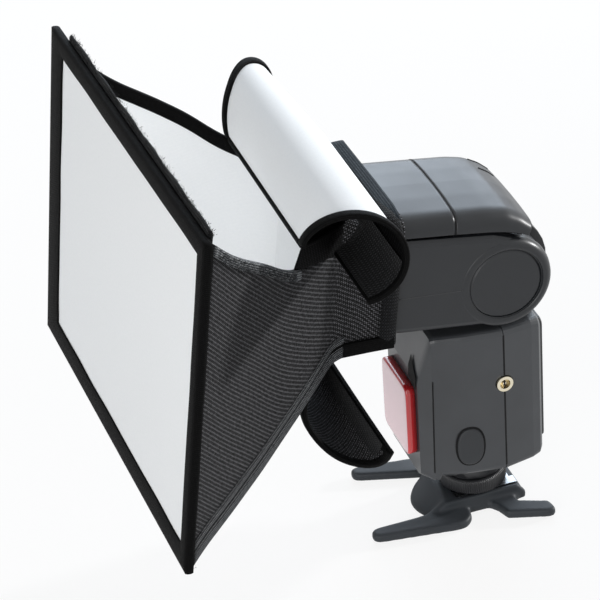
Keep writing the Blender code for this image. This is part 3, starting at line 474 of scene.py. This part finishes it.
# The joint between the two parts shows as a fine black line of painted shade.
lean = np.array((np.cos(LEAN), 0.0, -np.sin(LEAN)))
path = lid_skin("rear", np.zeros(81), np.linspace(-1, 1, 81)) - 0.00015 * lean
out = unit(np.cross(lean, np.gradient(path, axis=0)))
joint = tape("lid_joint", path + LID_WALL * out, lean, out, 0.0007, 0.0002, painted_shade_black)
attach(joint, "head")
# Two slots run down the far half of the back slope, painted as dark strips of shade 0.1 mm above the lid's
# outer face.
for number, (spot, first, last) in enumerate(((0.7, 0.63, 0.97), (0.42, 0.67, 0.92))):
    path = lid_skin("rear", np.linspace(first, last, 14), np.full(14, spot))
    run = np.gradient(path, axis=0)
    out = unit(np.stack((-run[:, 2], 0 * run[:, 1], run[:, 0]), axis=1))
    slot = tape(f"lid_slot_{number}", path + (LID_WALL + 0.0001) * out, FAR, out, 0.0012, 0.0004, painted_shade_black)
    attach(slot, "head")

# Cheeks. Each has a round rim moulded about its pivot cap, fullest at the back, that dies into the side wall.
# Its outline is given as (radius, way out from the middle), and what passes the wall is scaled round the rim.
SIDE_WALL = 31.0
turn = around(160)[:, None]
rim = np.array(((16.9, 30.0), (17.0, 31.5), (17.3, 32.0), (18.0, 32.3), (19.2, 32.1), (20.4, 31.3),
                (21.3, 30.0), (21.8, 28.4), (21.9, 27.0), (21.0, 26.0), (18.0, 27.5)))
radius, reach = rim.T[:, None]
proud = np.maximum(reach - SIDE_WALL, 0.0) * (0.56 + 0.44 * np.cos(turn - 0.4))
for side, sign in BOTH_SIDES:
    out = sign * (np.minimum(reach, SIDE_WALL) + proud)
    points = leaned(radius * np.cos(turn), out, radius * np.sin(turn))
    cheek = surface(f"cheek_rim_{side}", points, (satin_abs,), wrap=(True, True))
    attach(cheek, "head")
path = leaned(np.linspace(-50.0, -19.0, 8), -SIDE_WALL, np.linspace(-2.6, -1.2, 8))
parting = tape("head_parting_line", path, UP, -FAR, 0.0004, 0.0002, dark_abs)
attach(parting, "head")
dress(dark_abs, "lens_bezel")
dress(clear_plastic, "front_lens")

# Light. A glass tube in a bright aluminium reflector, held by a black carriage. The carriage runs on two steel
# rods inside the head, and a small motor's screw drives it.
bright_aluminium = metal("bright_aluminium", "#d4d6d8", "#eceeef", (0.05, 0.14), 0.001)
tube_glass, tree, shader = blank("tube_glass", IOR=1.47, Transmission_Weight=0.8)
place = add(tree, "ShaderNodeTexCoord").outputs["Object"]
cloud = add(tree, "ShaderNodeTexNoise", {"Vector": place, "Scale": 120.0, "Detail": 1.0})
rough = add(tree, "ShaderNodeMapRange", {"Value": cloud, "To Min": 0.02, "To Max": 0.08})
feed(shader, Roughness=rough)
dress(bright_aluminium, "reflector")
dress(tube_glass, "flash_tube")
dress(dark_abs, "tube_holder", "zoom_carriage")
dress(rolled_steel, "guide_rods", "lead_screw", "zoom_motor")
dress(soft_rubber, "trigger_coil")


# Sleeve of the softbox. A tube of black woven nylon that is pulled over the head, with a soft band sewn
# round its back edge.
def cloth(name, points, looks, thickness, flip=False, wrap=(False, False)):
    """A sheet of cloth: a grid of points thickened inwards. The looks are its outside, inside and cut edge."""
    piece = surface(name, points, looks, flip, wrap)
    body = piece.modifiers.new("thickness", "SOLIDIFY")
    body.thickness = thickness
    body.offset = -1.0
    body.material_offset = 1
    body.material_offset_rim = 2
    return piece


def woven(name, dark, light, pitch, depth, bias=0.0, **sockets):
    """Ribbed weave on the cloth's own map: ribs pitch metres apart, crossed by threads 0.7 of that apart.

    Slubs about 1.4 mm wide break it up. bias turns the weave on the map by so many degrees.
    """
    material, tree, shader = blank(name, **sockets)
    chart = add(tree, "ShaderNodeUVMap", uv_map="cloth")
    turned = add(tree, "ShaderNodeMapping", {"Vector": chart, "Rotation": (0.0, 0.0, np.radians(bias))})
    parts = add(tree, "ShaderNodeSeparateXYZ", {"Vector": turned})
    waves = []
    for axis, apart in (("X", pitch), ("Y", 0.7 * pitch)):
        phase = add(tree, "ShaderNodeMath", {0: parts.outputs[axis], 1: 2 * np.pi / apart},
                    operation="MULTIPLY")
        waves.append(add(tree, "ShaderNodeMath", {0: phase}, operation="SINE"))
    crossed = add(tree, "ShaderNodeMath", {0: waves[0], 1: waves[1]}, operation="MULTIPLY")
    ribs = add(tree, "ShaderNodeMath", {0: waves[0], 1: 0.55, 2: crossed}, operation="MULTIPLY_ADD")
    slub = add(tree, "ShaderNodeTexNoise", {"Vector": chart, "Scale": 700.0, "Detail": 3.0, "Roughness": 0.7})
    crown = add(tree, "ShaderNodeMapRange", {"Value": ribs, "From Min": -0.8, "From Max": 1.3})
    thread = add(tree, "ShaderNodeMath", {0: crown, 1: slub}, operation="MULTIPLY")
    share = add(tree, "ShaderNodeMapRange", {"Value": thread, "From Min": 0.15, "From Max": 0.5})
    colour = add(tree, "ShaderNodeMixRGB", {"Fac": share, "Color1": tone(dark), "Color2": tone(light)})
    rough = add(tree, "ShaderNodeMapRange", {"Value": share, "To Min": 0.75, "To Max": 0.5})
    bump = add(tree, "ShaderNodeBump", {"Height": thread, "Strength": 0.8, "Distance": depth})
    feed(shader, Base_Color=colour, Roughness=rough, Normal=bump)
    return material


# Coated oxford nylon: threads are about 0.5 mm apart; they are drawn 1.7 mm apart so that the rib shows,
# and the cloth is cut on the bias.
black_nylon = woven("black_nylon", "#080808", "#69696c", 0.0017, 0.0004, bias=33.0, Specular_IOR_Level=0.1)
# The same cloth painted darker where it is turned inwards: painted shade.
shaded_inner_nylon = woven("black_nylon_inside_shaded", "#020202", "#171719", 0.0017, 0.0004, bias=33.0,
                    Specular_IOR_Level=0.06)
# Grosgrain binding tape: ribs across it, drawn 0.9 mm apart.
binding_tape = woven("binding_tape", "#020202", "#121213", 0.0009, 0.0002, Specular_IOR_Level=0.06)
# The same tape, painted lighter for the light along its sides, where its nap is brushed up.
lit_binding = woven("lit_binding_tape", "#1b1c1e", "#86888a", 0.0011, 0.0004, Specular_IOR_Level=0.1)
# The near side's top edge: the same tape painted lighter still, for the light on its fuzzy nap.
lit_fluffy_binding = woven("lit_fluffy_binding_tape", "#3a3d40", "#c2c4c6", 0.0011, 0.0004, Specular_IOR_Level=0.1)
# Fluffy loop tape: a mat of fine black loops.
loop_tape = woven("loop_tape", "#09090a", "#202225", 0.0016, 0.0006, Specular_IOR_Level=0.08,
                  Sheen_Weight=0.08)
# White coated taffeta that lines the box: a close weave, nearly smooth.
white_lining = woven("white_lining", "#eceeef", "#f6f7f7", 0.0007, 0.00004, Specular_IOR_Level=0.2)
# White nylon of the front that spreads the light.
diffuser_nylon = woven("diffuser_nylon", "#e9e9e9", "#f0f0f0", 0.0008, 0.00006, Specular_IOR_Level=0.2)
# Webbing of the strap: a tight grey-black weave.
strap_web = woven("strap_web", "#1b2024", "#3f474e", 0.0012, 0.0003, Specular_IOR_Level=0.12)

SLEEVE_BACK, SLEEVE_FRONT = -50.5, -79.0
SLEEVE_HALF, SLEEVE_LOW, SLEEVE_HIGH = 33.3, -25.6, 36.2


def sleeve(x, turn, grow):
    """A soft rectangle round the head: a superellipse of high order, its radius grown by grow."""
    power = 0.22
    half, middle = (SLEEVE_HIGH - SLEEVE_LOW) / 2, (SLEEVE_HIGH + SLEEVE_LOW) / 2
    y = powered(np.cos(turn), power) * (SLEEVE_HALF + grow)
    z = middle + powered(np.sin(turn), power) * (half + grow)
    return leaned(x, y, z)


x = np.linspace(SLEEVE_FRONT, SLEEVE_BACK, 24)[:, None]
turn = around(192)[None, :]
slack = 0.35 * np.sin(3 * turn + 0.4) * np.sin(0.35 * x)
sleeve_cloth = cloth("sleeve_cloth", sleeve(x, turn, slack), (black_nylon, white_lining, binding_tape), 0.0012,
                     flip=True, wrap=(False, True))
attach(sleeve_cloth, "softbox")
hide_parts("collar")

# The band sits askew, further forward at the top, and is fullest along its middle.
BAND_X, BAND_HALF, BAND_SKEW = -54.6, 3.8, 2.8
across = np.linspace(-1, 1, 11)[:, None]
tilted = BAND_X + BAND_HALF * across - BAND_SKEW * np.sin(turn)
crown = 1.4 + 1.0 * (1 - across ** 2) + 0.8 * np.sin(turn)
sleeve_band = cloth("sleeve_band", sleeve(tilted, turn, crown), (loop_tape, binding_tape, binding_tape), 0.001,
                    flip=True, wrap=(False, True))
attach(sleeve_band, "softbox")
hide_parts("collar_strap")
# A bound hem runs along the near side's lower edge, given as places along X and their heights.
HEM_X, HEM_Z = (-88.0, -75.0, -62.0, -51.0), (-27.4, -23.4, -22.0, -21.0)
low_x = np.linspace(HEM_X[0], HEM_X[-1], 24)
path = leaned(low_x, -33.9, np.interp(low_x, HEM_X, HEM_Z))
sleeve_hem = tape("sleeve_low_hem", path, UP, -FAR, 0.0066, 0.0024, binding_tape)
# The strap's tongue lies flat on top and ends square at the far side, with a sewn black edge in front.
over = np.linspace(-31.0, 36.0, 24)
rise = np.interp(over, (-31.0, -24.0, 0.0, 36.0), (36.6, 38.6, 39.2, 39.4))
slant = 0.025 * (over + 31.0)
tongue = tape("strap_tongue", leaned(-56.0 - slant, over, rise), BACK, UP, 0.0072, 0.0018, strap_web)
tongue_edge = tape("strap_tongue_edge", leaned(-59.8 - slant, over + 0.6, rise + 0.3), BACK, UP, 0.002, 0.0022,
                   binding_tape)
for trim in (sleeve_hem, tongue, tongue_edge):
    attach(trim, "softbox")

# Inner diffuser. A second cloth, of white taffeta, over the sleeve's mouth. It is held round its edge and puffs
# out in front of the lens.
u, v = np.meshgrid(np.linspace(-1, 1, 40), np.linspace(-1, 1, 36), indexing="ij")
puff = 5.0 * (1 - u ** 8) * (1 - v ** 8)
inner_cloth = cloth("inner_diffuser_cloth", leaned(-80.4 - puff, 34.0 * u, 6.7 + 28.8 * v),
                    (white_lining, white_lining, white_lining), 0.0006, flip=True)
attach(inner_cloth, "softbox")

# Sides. Two wings of black nylon with a white lining, sewn to the sleeve's front edge and to the front.
# Their long edges are drawn in and bound with tape. The front's corners are given near and far, low and high,
# and the edges as (share of the way from sleeve to front, height).
FRONT_CORNERS = np.array([[[-160.0, -100.5, -79.6], [-161.3, -100.5, 72.9]],
                          [[-166.4, 100.5, -77.5], [-169.7, 100.5, 74.1]]])
NEAR_TOP = ((-0.06, 23.5), (0.0, 24.0), (0.09, 25.5), (0.2, 27.5), (0.3, 29.3), (0.385, 31.4), (0.48, 36.7),
            (0.59, 43.8), (0.79, 55.2), (0.9, 62.5), (1.0, 70.5))
FAR_TOP = ((-0.06, 34.0), (0.0, 34.0), (0.15, 34.2), (0.32, 38.2), (0.46, 44.4), (0.6, 48.3), (0.77, 51.9),
           (0.9, 57.0), (1.0, 68.0))
SIDE_LOW = ((-0.06, -25.5), (0.0, -27.5), (0.08, -34.0), (0.19, -41.0), (0.31, -47.0), (0.52, -57.5),
            (0.73, -66.0), (0.92, -72.7), (1.0, -77.0))
SIDE_SET_BACK, SIDE_END, BEND, BEND_RUN = 3.4, 96.7, 0.03, 0.06


def wing(sign, share, level):
    """A side from sleeve to front, level 0 its low edge and 1 its top edge.

    It leaves the sleeve along it and bends out to a straight run, with one slack ripple.
    """
    top = eased(NEAR_TOP if sign < 0 else FAR_TOP, share)
    low = eased(SIDE_LOW, share)
    ends = FRONT_CORNERS[0 if sign < 0 else 1].mean(axis=0)
    x = SLEEVE_FRONT + (ends[0] + SIDE_SET_BACK - SLEEVE_FRONT) * share
    out = np.maximum(share, 0)
    spread = (out - BEND * (1 - np.exp(-out / BEND_RUN))) / (1 - BEND)
    ripple = 0.8 * np.sin(2 * np.pi * (share + 0.35 * level)) * np.sin(np.pi * out) * np.sin(np.pi * level)
    y = sign * (SLEEVE_HALF + 0.9 + (SIDE_END - SLEEVE_HALF) * spread + ripple)
    return leaned(x, y, low + (top - low) * level)


def edge_tape(name, path, inner, inset, width, thickness, look):
    """A binding folded over an edge of cloth: a tape along its path, set in towards points further inside."""
    across = unit(inner - path)
    normal = unit(np.cross(unit(np.gradient(path, axis=0)), across))
    return tape(name, path + inset * across, across, normal, width, thickness, look)


# What differs between the sides: the row where the top hem starts, its width and look, and the cut area.
SIDE_HEMS = {"near": (23, 0.0052, lit_fluffy_binding, 0.0102), "far": (0, 0.0068, binding_tape, 0.011)}
share, level = np.meshgrid(np.linspace(-0.06, 1, 64), np.linspace(0, 1, 40), indexing="ij")
wing_tops = {}
for side, sign in BOTH_SIDES:
    hem_row, hem_width, hem_look, cut_area = SIDE_HEMS[side]
    points = wing(sign, share, level)
    wing_tops[side] = points[:, -1]
    panel = cloth(f"side_{side}_cloth", points, (black_nylon, white_lining, binding_tape), 0.0009,
                  flip=sign < 0)
    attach(panel, "softbox")
    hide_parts(f"side_panel_{side}")
    top_hem = edge_tape(f"side_{side}_top_hem", points[hem_row:, -1], points[hem_row:, -4], 0.0016, hem_width,
                        0.0032, hem_look)
    low, inner = points[:, 0], points[:, 4]
    low_hem = edge_tape(f"side_{side}_low_hem", low, inner, 0.0022, 0.0058, 0.0032, lit_binding)
    ridge = edge_tape(f"side_{side}_low_ridge", low, inner, 0.0082, 0.0036, 0.0024, lit_binding)
    for hem in (top_hem, low_hem, ridge):
        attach(hem, "softbox")

# Front. A white nylon panel that spreads the light, bound all round with a folded black tape that is widest
# on the far side.
HALF_WIDE, LOW, HIGH, CLOTH_INSET = 100.5, -78.5, 73.5, 2.0


def front(across, height, out):
    """A point of the front between its four corners, moved out of it by out millimetres."""
    u, v = (across + HALF_WIDE) / (2 * HALF_WIDE), (height - LOW) / (HIGH - LOW)
    near = FRONT_CORNERS[0, 0] * (1 - v)[..., None] + FRONT_CORNERS[0, 1] * v[..., None]
    far = FRONT_CORNERS[1, 0] * (1 - v)[..., None] + FRONT_CORNERS[1, 1] * v[..., None]
    spot = near * (1 - u)[..., None] + far * u[..., None]
    return leaned(spot[..., 0] - out, spot[..., 1], spot[..., 2])


cloth_half = HALF_WIDE - CLOTH_INSET
height, across = np.meshgrid(np.linspace(LOW + CLOTH_INSET, HIGH - CLOTH_INSET, 60),
                             np.linspace(-cloth_half, cloth_half, 80), indexing="ij")
u, v = across / cloth_half, (height - 0.5 * (LOW + HIGH)) / (0.5 * (HIGH - LOW))
puff = 0.6 * (1 - u ** 2) * (1 - v ** 2) + 0.25 * np.sin(2.2 * u + 3.1 * v) * (1 - u ** 4) * (1 - v ** 4)
diffuser = cloth("diffuser_cloth", front(across, height, -0.9 + puff),
                 (diffuser_nylon, white_lining, white_lining), 0.0006, flip=True)
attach(diffuser, "softbox")
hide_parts("diffuser_panel")
# The cloth lets light through to the lining, so it throws no shadow.
diffuser.visible_shadow = False

# Binding widths as they show on the front: far side, near side, foot and head. The section is given as (share
# of that width, way out of the front), and the tape's inner edge wanders a little along its seam.
FAR_BAND, NEAR_BAND, FOOT_BAND, HEAD_BAND, WANDER = 17.0, 8.0, 11.0, 8.0, 0.035
section = np.array([(1.0, 0.1), (0.92, 0.55), (0.6, 0.85), (0.2, 0.8), (0.02, 0.3), (0.0, -0.8), (0.0, -2.2),
                    (0.03, -3.2), (0.3, -3.5), (0.7, -3.2), (0.72, -2.6), (0.9, -0.9)])
side_steps = np.linspace(0, 1, 48, endpoint=False)
zero, one = np.zeros_like(side_steps), np.ones_like(side_steps)
round_u = np.concatenate((side_steps, one, 1 - side_steps, zero))[None, :]
round_v = np.concatenate((zero, side_steps, one, 1 - side_steps))[None, :]
inset, out = section[:, :1], section[:, 1:]
wander_u = np.sin(19.0 * round_u + 4.0 + 2.0 * np.sin(5.0 * round_v))
wander_v = np.sin(13.0 * round_v + 1.0 + 2.0 * np.sin(4.0 * round_u))
inset = inset * np.where(inset > 0.5, 1.0 + WANDER * wander_u * wander_v, 1.0)
left, right = -HALF_WIDE + inset * NEAR_BAND, HALF_WIDE - inset * FAR_BAND
foot, head = LOW + inset * FOOT_BAND, HIGH - inset * HEAD_BAND
points = front(left + (right - left) * round_u, foot + (head - foot) * round_v, out)
front_tape = surface("front_tape", points, (binding_tape,), wrap=(True, True))
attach(front_tape, "softbox")
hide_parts("front_binding")


# Hook tapes. Strips of hook tape along the head and foot of the front, with stiff nylon bristles, that the
# flaps' loop tape grips when the box is closed.
def bristles(name, roots, lean, length, width, look, seed):
    """Short fibres, each one narrow triangle from its root along a scattered direction."""
    dice = np.random.default_rng(seed)
    count = len(roots)
    aim = unit(lean + 0.55 * dice.normal(size=(count, 3)))
    side = unit(np.cross(aim, dice.normal(size=(count, 3))))
    reach = length * (0.6 + 0.6 * dice.random((count, 1)))
    points = np.stack((roots - 0.5 * width * side, roots + 0.5 * width * side, roots + reach * aim), axis=1)
    mesh = bpy.data.meshes.new(name)
    mesh.from_pydata(points.reshape(-1, 3).tolist(), [], np.arange(3 * count).reshape(-1, 3).tolist())
    mesh.uv_layers.new(name="cloth")
    mesh.materials.append(look)
    return put(name, mesh)


HEAD_UP = 1000 * (leaned(0.0, 0.0, 1.0) - leaned(0.0, 0.0, 0.0))
STRIP_OUT, HOOKS = -4.2, 2600
front_trim = [front_tape]
for name, node, edge, facing in (("head_hooks", "hook_strip_top", HIGH - 1.2, 1.0),
                                 ("foot_hooks", "hook_strip_bottom", LOW + 1.2, -1.0)):
    across = np.linspace(-94.0, 86.0, 120)
    path = front(across, edge + 0.4 * np.sin(0.21 * across), STRIP_OUT)
    along = unit(np.gradient(path, axis=0))
    normal = unit(np.cross(along, HEAD_UP))
    strip = tape(name, path, unit(np.cross(normal, along)), normal, 0.007, 0.0018, loop_tape)
    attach(strip, "softbox")
    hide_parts(node)
    dice = np.random.default_rng(3)
    spot = across[dice.integers(0, len(across), HOOKS)] + dice.normal(size=HOOKS)
    spot = np.clip(spot, -95.0, 86.0)
    height = edge + facing * 2.2 + dice.normal(size=HOOKS) * 0.6
    roots = front(spot, height, STRIP_OUT + dice.normal(size=HOOKS) * 0.8)
    fur = bristles(name + "_bristles", roots, facing * HEAD_UP, 0.0016, 0.00025, loop_tape, 7)
    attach(fur, "softbox")
    front_trim += [strip, fur]

# The head's hook tape is folded over the near side's top hem, and its bristles stand out there.
FOLD_HOOKS = 1500
dice = np.random.default_rng(11)
step = np.arange(len(wing_tops["near"]))
spot = dice.uniform(0.4, 0.985, FOLD_HOOKS) * step[-1]
roots = np.stack([np.interp(spot, step, wing_tops["near"][:, k]) for k in range(3)], axis=1)
roots = roots - HEAD_UP * dice.uniform(0.0, 0.0042, (FOLD_HOOKS, 1)) + np.array((0.0006, -0.0014, 0.0))
fold_fur = bristles("folded_hook_bristles", roots, np.array((0.2, -0.6, 0.6)), 0.0016, 0.0003, lit_binding, 5)
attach(fold_fur, "softbox")

# Top flap. Black nylon outside and white lining inside, unfastened and rolled back over the head, so that the
# white lining shows. Its side edges are bound with tape, and loop tape runs along its free edge.
TOP_SEAM, TOP_ROLL, TOP_LEAD = np.array((-78.8, 38.0)), (-87.1, 46.2, 17.7), 26.0
ROLL_START, MIDDLE_END, HANG_END = np.radians((192.0, -26.0, -80.0))


def rolled(run):
    """A straight lead from the seam into an arc, at run millimetres from the seam; gives x and z."""
    x, z, radius = TOP_ROLL
    first = np.array((x + radius * np.cos(ROLL_START), z + radius * np.sin(ROLL_START)))
    lead = np.hypot(*(first - TOP_SEAM))
    part = np.clip(run / lead, 0, 1)
    angle = ROLL_START - np.maximum(run - lead, 0) / radius
    straight = run < lead
    return (np.where(straight, TOP_SEAM[0] + (first[0] - TOP_SEAM[0]) * part, x + radius * np.cos(angle)),
            np.where(straight, TOP_SEAM[1] + (first[1] - TOP_SEAM[1]) * part, z + radius * np.sin(angle)))


def flap_hems(flap, points):
    """The bindings of a flap's near, far and free edges."""
    return [edge_tape(f"{flap}_{end}_hem", path, inner, 0.0018, 0.005, thickness, binding_tape)
            for end, path, inner, thickness in (("near", points[:, 0], points[:, 3], 0.0026),
                                                ("far", points[:, -1], points[:, -4], 0.0026),
                                                ("edge", points[-1], points[-4], 0.0024))]


def lifted(points, lift):
    """A grid of points moved by lift along its normals, the cross products of its two gradients."""
    return points + lift * unit(np.cross(np.gradient(points, axis=0), np.gradient(points, axis=1)))


# The middle stops where it meets the sleeve, and both ends hang on beside it. The far end is rolled tighter.
share, side = np.meshgrid(np.linspace(0, 1, 84), np.linspace(-1, 1, 121), indexing="ij")
middle_run, end_run = [TOP_LEAD + TOP_ROLL[2] * (ROLL_START - end) for end in (MIDDLE_END, HANG_END)]
hang = np.clip((np.abs(side) - 0.43) / 0.07, 0, 1)
hang = hang ** 2 * (3 - 2 * hang)
rest = 0.1 * middle_run + (end_run - middle_run) * hang
run = 0.9 * middle_run * np.minimum(share / 0.8, 1) + rest * np.maximum(share / 0.2 - 4.0, 0)
x, z = rolled(run)
half = 33.0 + 91.4 * run / 90.0 - 43.0 * (run / 90.0) ** 2
half = np.maximum(half, np.maximum.accumulate(half, axis=0))
# Its far edge is cut in beside the far side's hem, so that it clears the hem when the flap swings down.
CUT_DEPTH, CUT_RUN = 9.0, 60.0
cut = CUT_DEPTH * np.sin(np.pi * np.clip(run / CUT_RUN, 0, 1)) ** 2 * np.clip(side, 0, 1)
y = half * side - cut
x = x - 0.16 * np.clip((y - 10.0) / 65.0, 0, 1) * np.maximum(x + 100.0, 0)
points = leaned(x, y, z)
# The flap's inner side, in the roll's shade, is in the nylon painted darker.
top_cloth = cloth("top_flap_cloth", points, (white_lining, shaded_inner_nylon, binding_tape), 0.0008)
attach(top_cloth, "top_flap")
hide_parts("top_flap")
top_hems = flap_hems("top_flap", points)
path = leaned(-104.3, np.linspace(43.0, -53.0, 30), 41.6)
top_hems.append(tape("top_flap_seam", path, UP, -BACK, 0.0026, 0.0018, binding_tape))
for hem in top_hems:
    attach(hem, "top_flap")
# The loop tape is sewn to the outside, over the last rows of the cloth.
LOOP_LIFT, TOP_LOOP_ROW = 0.0016, 68
inner = lifted(points, -LOOP_LIFT)[TOP_LOOP_ROW:]
top_loops = surface("top_flap_loops", inner[:, 1:-1], (loop_tape,), flip=True)
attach(top_loops, "top_flap")
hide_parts("top_flap_tape")

# Gussets. A small web of black nylon closes the gap between each side's top edge and the flap beside the
# sleeve. It is sewn to both. Each has its rows of the side's edge, its flat size and its cut area.
for side, column, rows, flat, cut_area in (("near", 0, np.s_[3:26], (0.034, 0.02), 0.0005),
                                           ("far", -1, np.s_[3:21], (0.026, 0.016), 0.00016)):
    low = wing_tops[side][rows]
    high = points[:len(low), column]
    level = np.linspace(0, 1, 10)[:, None, None]
    # The webs are in the nylon painted darker for their shade.
    web = cloth(f"gusset_{side}", low[None] * (1 - level) + high[None] * level,
                (shaded_inner_nylon, shaded_inner_nylon, binding_tape), 0.0008, flip=side == "far")
    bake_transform(web)

# Bottom flap. Made as the top one, and hanging below the sleeve with its free edge rolled back and up. Its rows
# from the seam to the free edge are given as (x, z, half width).
BOTTOM_ROWS = np.array(((-78.8, -25.2, 33.0), (-86.5, -34.6, 38.0), (-93.0, -43.0, 43.0), (-92.0, -50.5, 46.5),
                        (-87.4, -57.2, 51.0), (-81.6, -61.7, 56.0), (-75.6, -62.6, 62.0), (-69.6, -60.2, 69.0),
                        (-65.9, -54.6, 74.5), (-65.5, -47.7, 78.0)))
BOTTOM_SAG, BOTTOM_LOOP_ROW = 1.2, 53
share = np.linspace(0, 1, 64)
knots = np.linspace(0, 1, len(BOTTOM_ROWS))
x, z, half = [eased(np.stack((knots, BOTTOM_ROWS[:, k]), axis=1), share) for k in range(3)]
side = np.linspace(-1, 1, 49)[None, :]
sag = BOTTOM_SAG * (1 - side ** 2) * share[:, None]
points = leaned(x[:, None], half[:, None] * side, z[:, None] - sag)
low_cloth = cloth("bottom_flap_cloth", points, (white_lining, black_nylon, binding_tape), 0.0008, flip=True)
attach(low_cloth, "bottom_flap")
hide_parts("bottom_flap")
low_hems = flap_hems("bottom_flap", points)
for hem in low_hems:
    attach(hem, "bottom_flap")
inner = lifted(points, LOOP_LIFT)[BOTTOM_LOOP_ROW:]
low_loops = surface("bottom_flap_loops", inner[:, 2:-2], (loop_tape,))
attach(low_loops, "bottom_flap")
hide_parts("bottom_flap_tape")


# Stage. A plain white floor, a white surround and one soft key light from the upper right, as in a studio.
# The floor and the surround are as bright as paper only to the camera, in gloss and through glass.
def seen(tree):
    """1 for a ray from the camera, off a gloss or through glass, and 0 for any other."""
    path = add(tree, "ShaderNodeLightPath").outputs
    first = add(tree, "ShaderNodeMath", {0: path["Is Camera Ray"], 1: path["Is Glossy Ray"]},
                operation="MAXIMUM")
    return add(tree, "ShaderNodeMath", {0: first, 1: path["Is Transmission Ray"]}, operation="MAXIMUM")


FLOOR_HALF, FLOOR_Z = 6.0, -0.0004
floor_mesh = bpy.data.meshes.new("floor")
floor_corners = [(FLOOR_HALF * a, FLOOR_HALF * b, FLOOR_Z) for a, b in ((-1, -1), (1, -1), (1, 1), (-1, 1))]
floor_mesh.from_pydata(floor_corners, [], [(0, 1, 2, 3)])
floor = put("floor", floor_mesh)
white_floor, tree, shader = blank("white_floor", Base_Color=tone("#f2f2f2"), Roughness=0.9,
                                  Specular_IOR_Level=0.0)
share = add(tree, "ShaderNodeMath", {0: seen(tree), 1: 0.86}, operation="MULTIPLY")
glow = add(tree, "ShaderNodeEmission", {"Color": (1.0, 1.0, 1.0, 1.0), "Strength": 1.0})
feed(tree.nodes["Material Output"], Surface=add(tree, "ShaderNodeMixShader", {0: share, 1: shader, 2: glow}))
floor_mesh.materials.append(white_floor)

world = bpy.data.worlds.new("white_surround")
bpy.context.scene.world = world
world.use_nodes = True
tree = world.node_tree
level = add(tree, "ShaderNodeMapRange", {"Value": seen(tree), "To Min": 0.37, "To Max": 1.0})
feed(tree.nodes["Background"], Strength=level)
tree.nodes["Background"].inputs["Color"].default_value = (1.0, 1.0, 1.0, 1.0)


def aimed(away, spot):
    """A lamp's place: it stands at spot with its own Z along away and its X level."""
    away = unit(away)
    sideways = unit(np.cross(UP, away))
    rows = np.stack((sideways, np.cross(away, sideways), away, spot), axis=1)
    return Matrix([*rows.tolist(), (0.0, 0.0, 0.0, 1.0)])


key = bpy.data.lights.new("key", "SUN")
key.energy = 2.7
key.angle = np.radians(4.0)
put("key", key).matrix_world = aimed(np.array((0.95, 0.08, 0.26)), np.zeros(3))


def panel_lamp(name, spot, aim, size, power, shade):
    """A square soft lamp at a spot, facing a point."""
    data = bpy.data.lights.new(name, "AREA")
    data.shape = "SQUARE"
    data.size = size
    data.energy = power
    data.color = tone(shade)[:3]
    put(name, data).matrix_world = aimed(np.array(spot) - np.array(aim), np.array(spot))


# A panel behind the head, which the lid and the stand's tops mirror, and a fill from the front left.
panel_lamp("back_panel_light", (0.55, 1.05, 0.75), (0.03, 0.0, 0.15), 1.0, 12.0, "#dcebfb")
panel_lamp("fill_light", (-1.0, -1.1, 0.5), (-0.05, 0.0, 0.14), 0.9, 10.5, "#ffffff")

# The camera stands where the photograph was taken from.
camera = bpy.data.cameras.new("camera")
camera.lens = 164.9
camera.sensor_width = 36.0
camera.clip_start, camera.clip_end = 0.05, 20.0
viewer = put("camera", camera)
viewer.matrix_world = Matrix(((0.94457, 0.22298, -0.24096, -0.29366),
                              (-0.32237, 0.49102, -0.80931, -0.96235),
                              (-0.06214, 0.84213, 0.53568, 0.7627),
                              (0.0, 0.0, 0.0, 1.0)))
bpy.context.scene.camera = viewer
bpy.context.scene.view_settings.view_transform = "Standard"
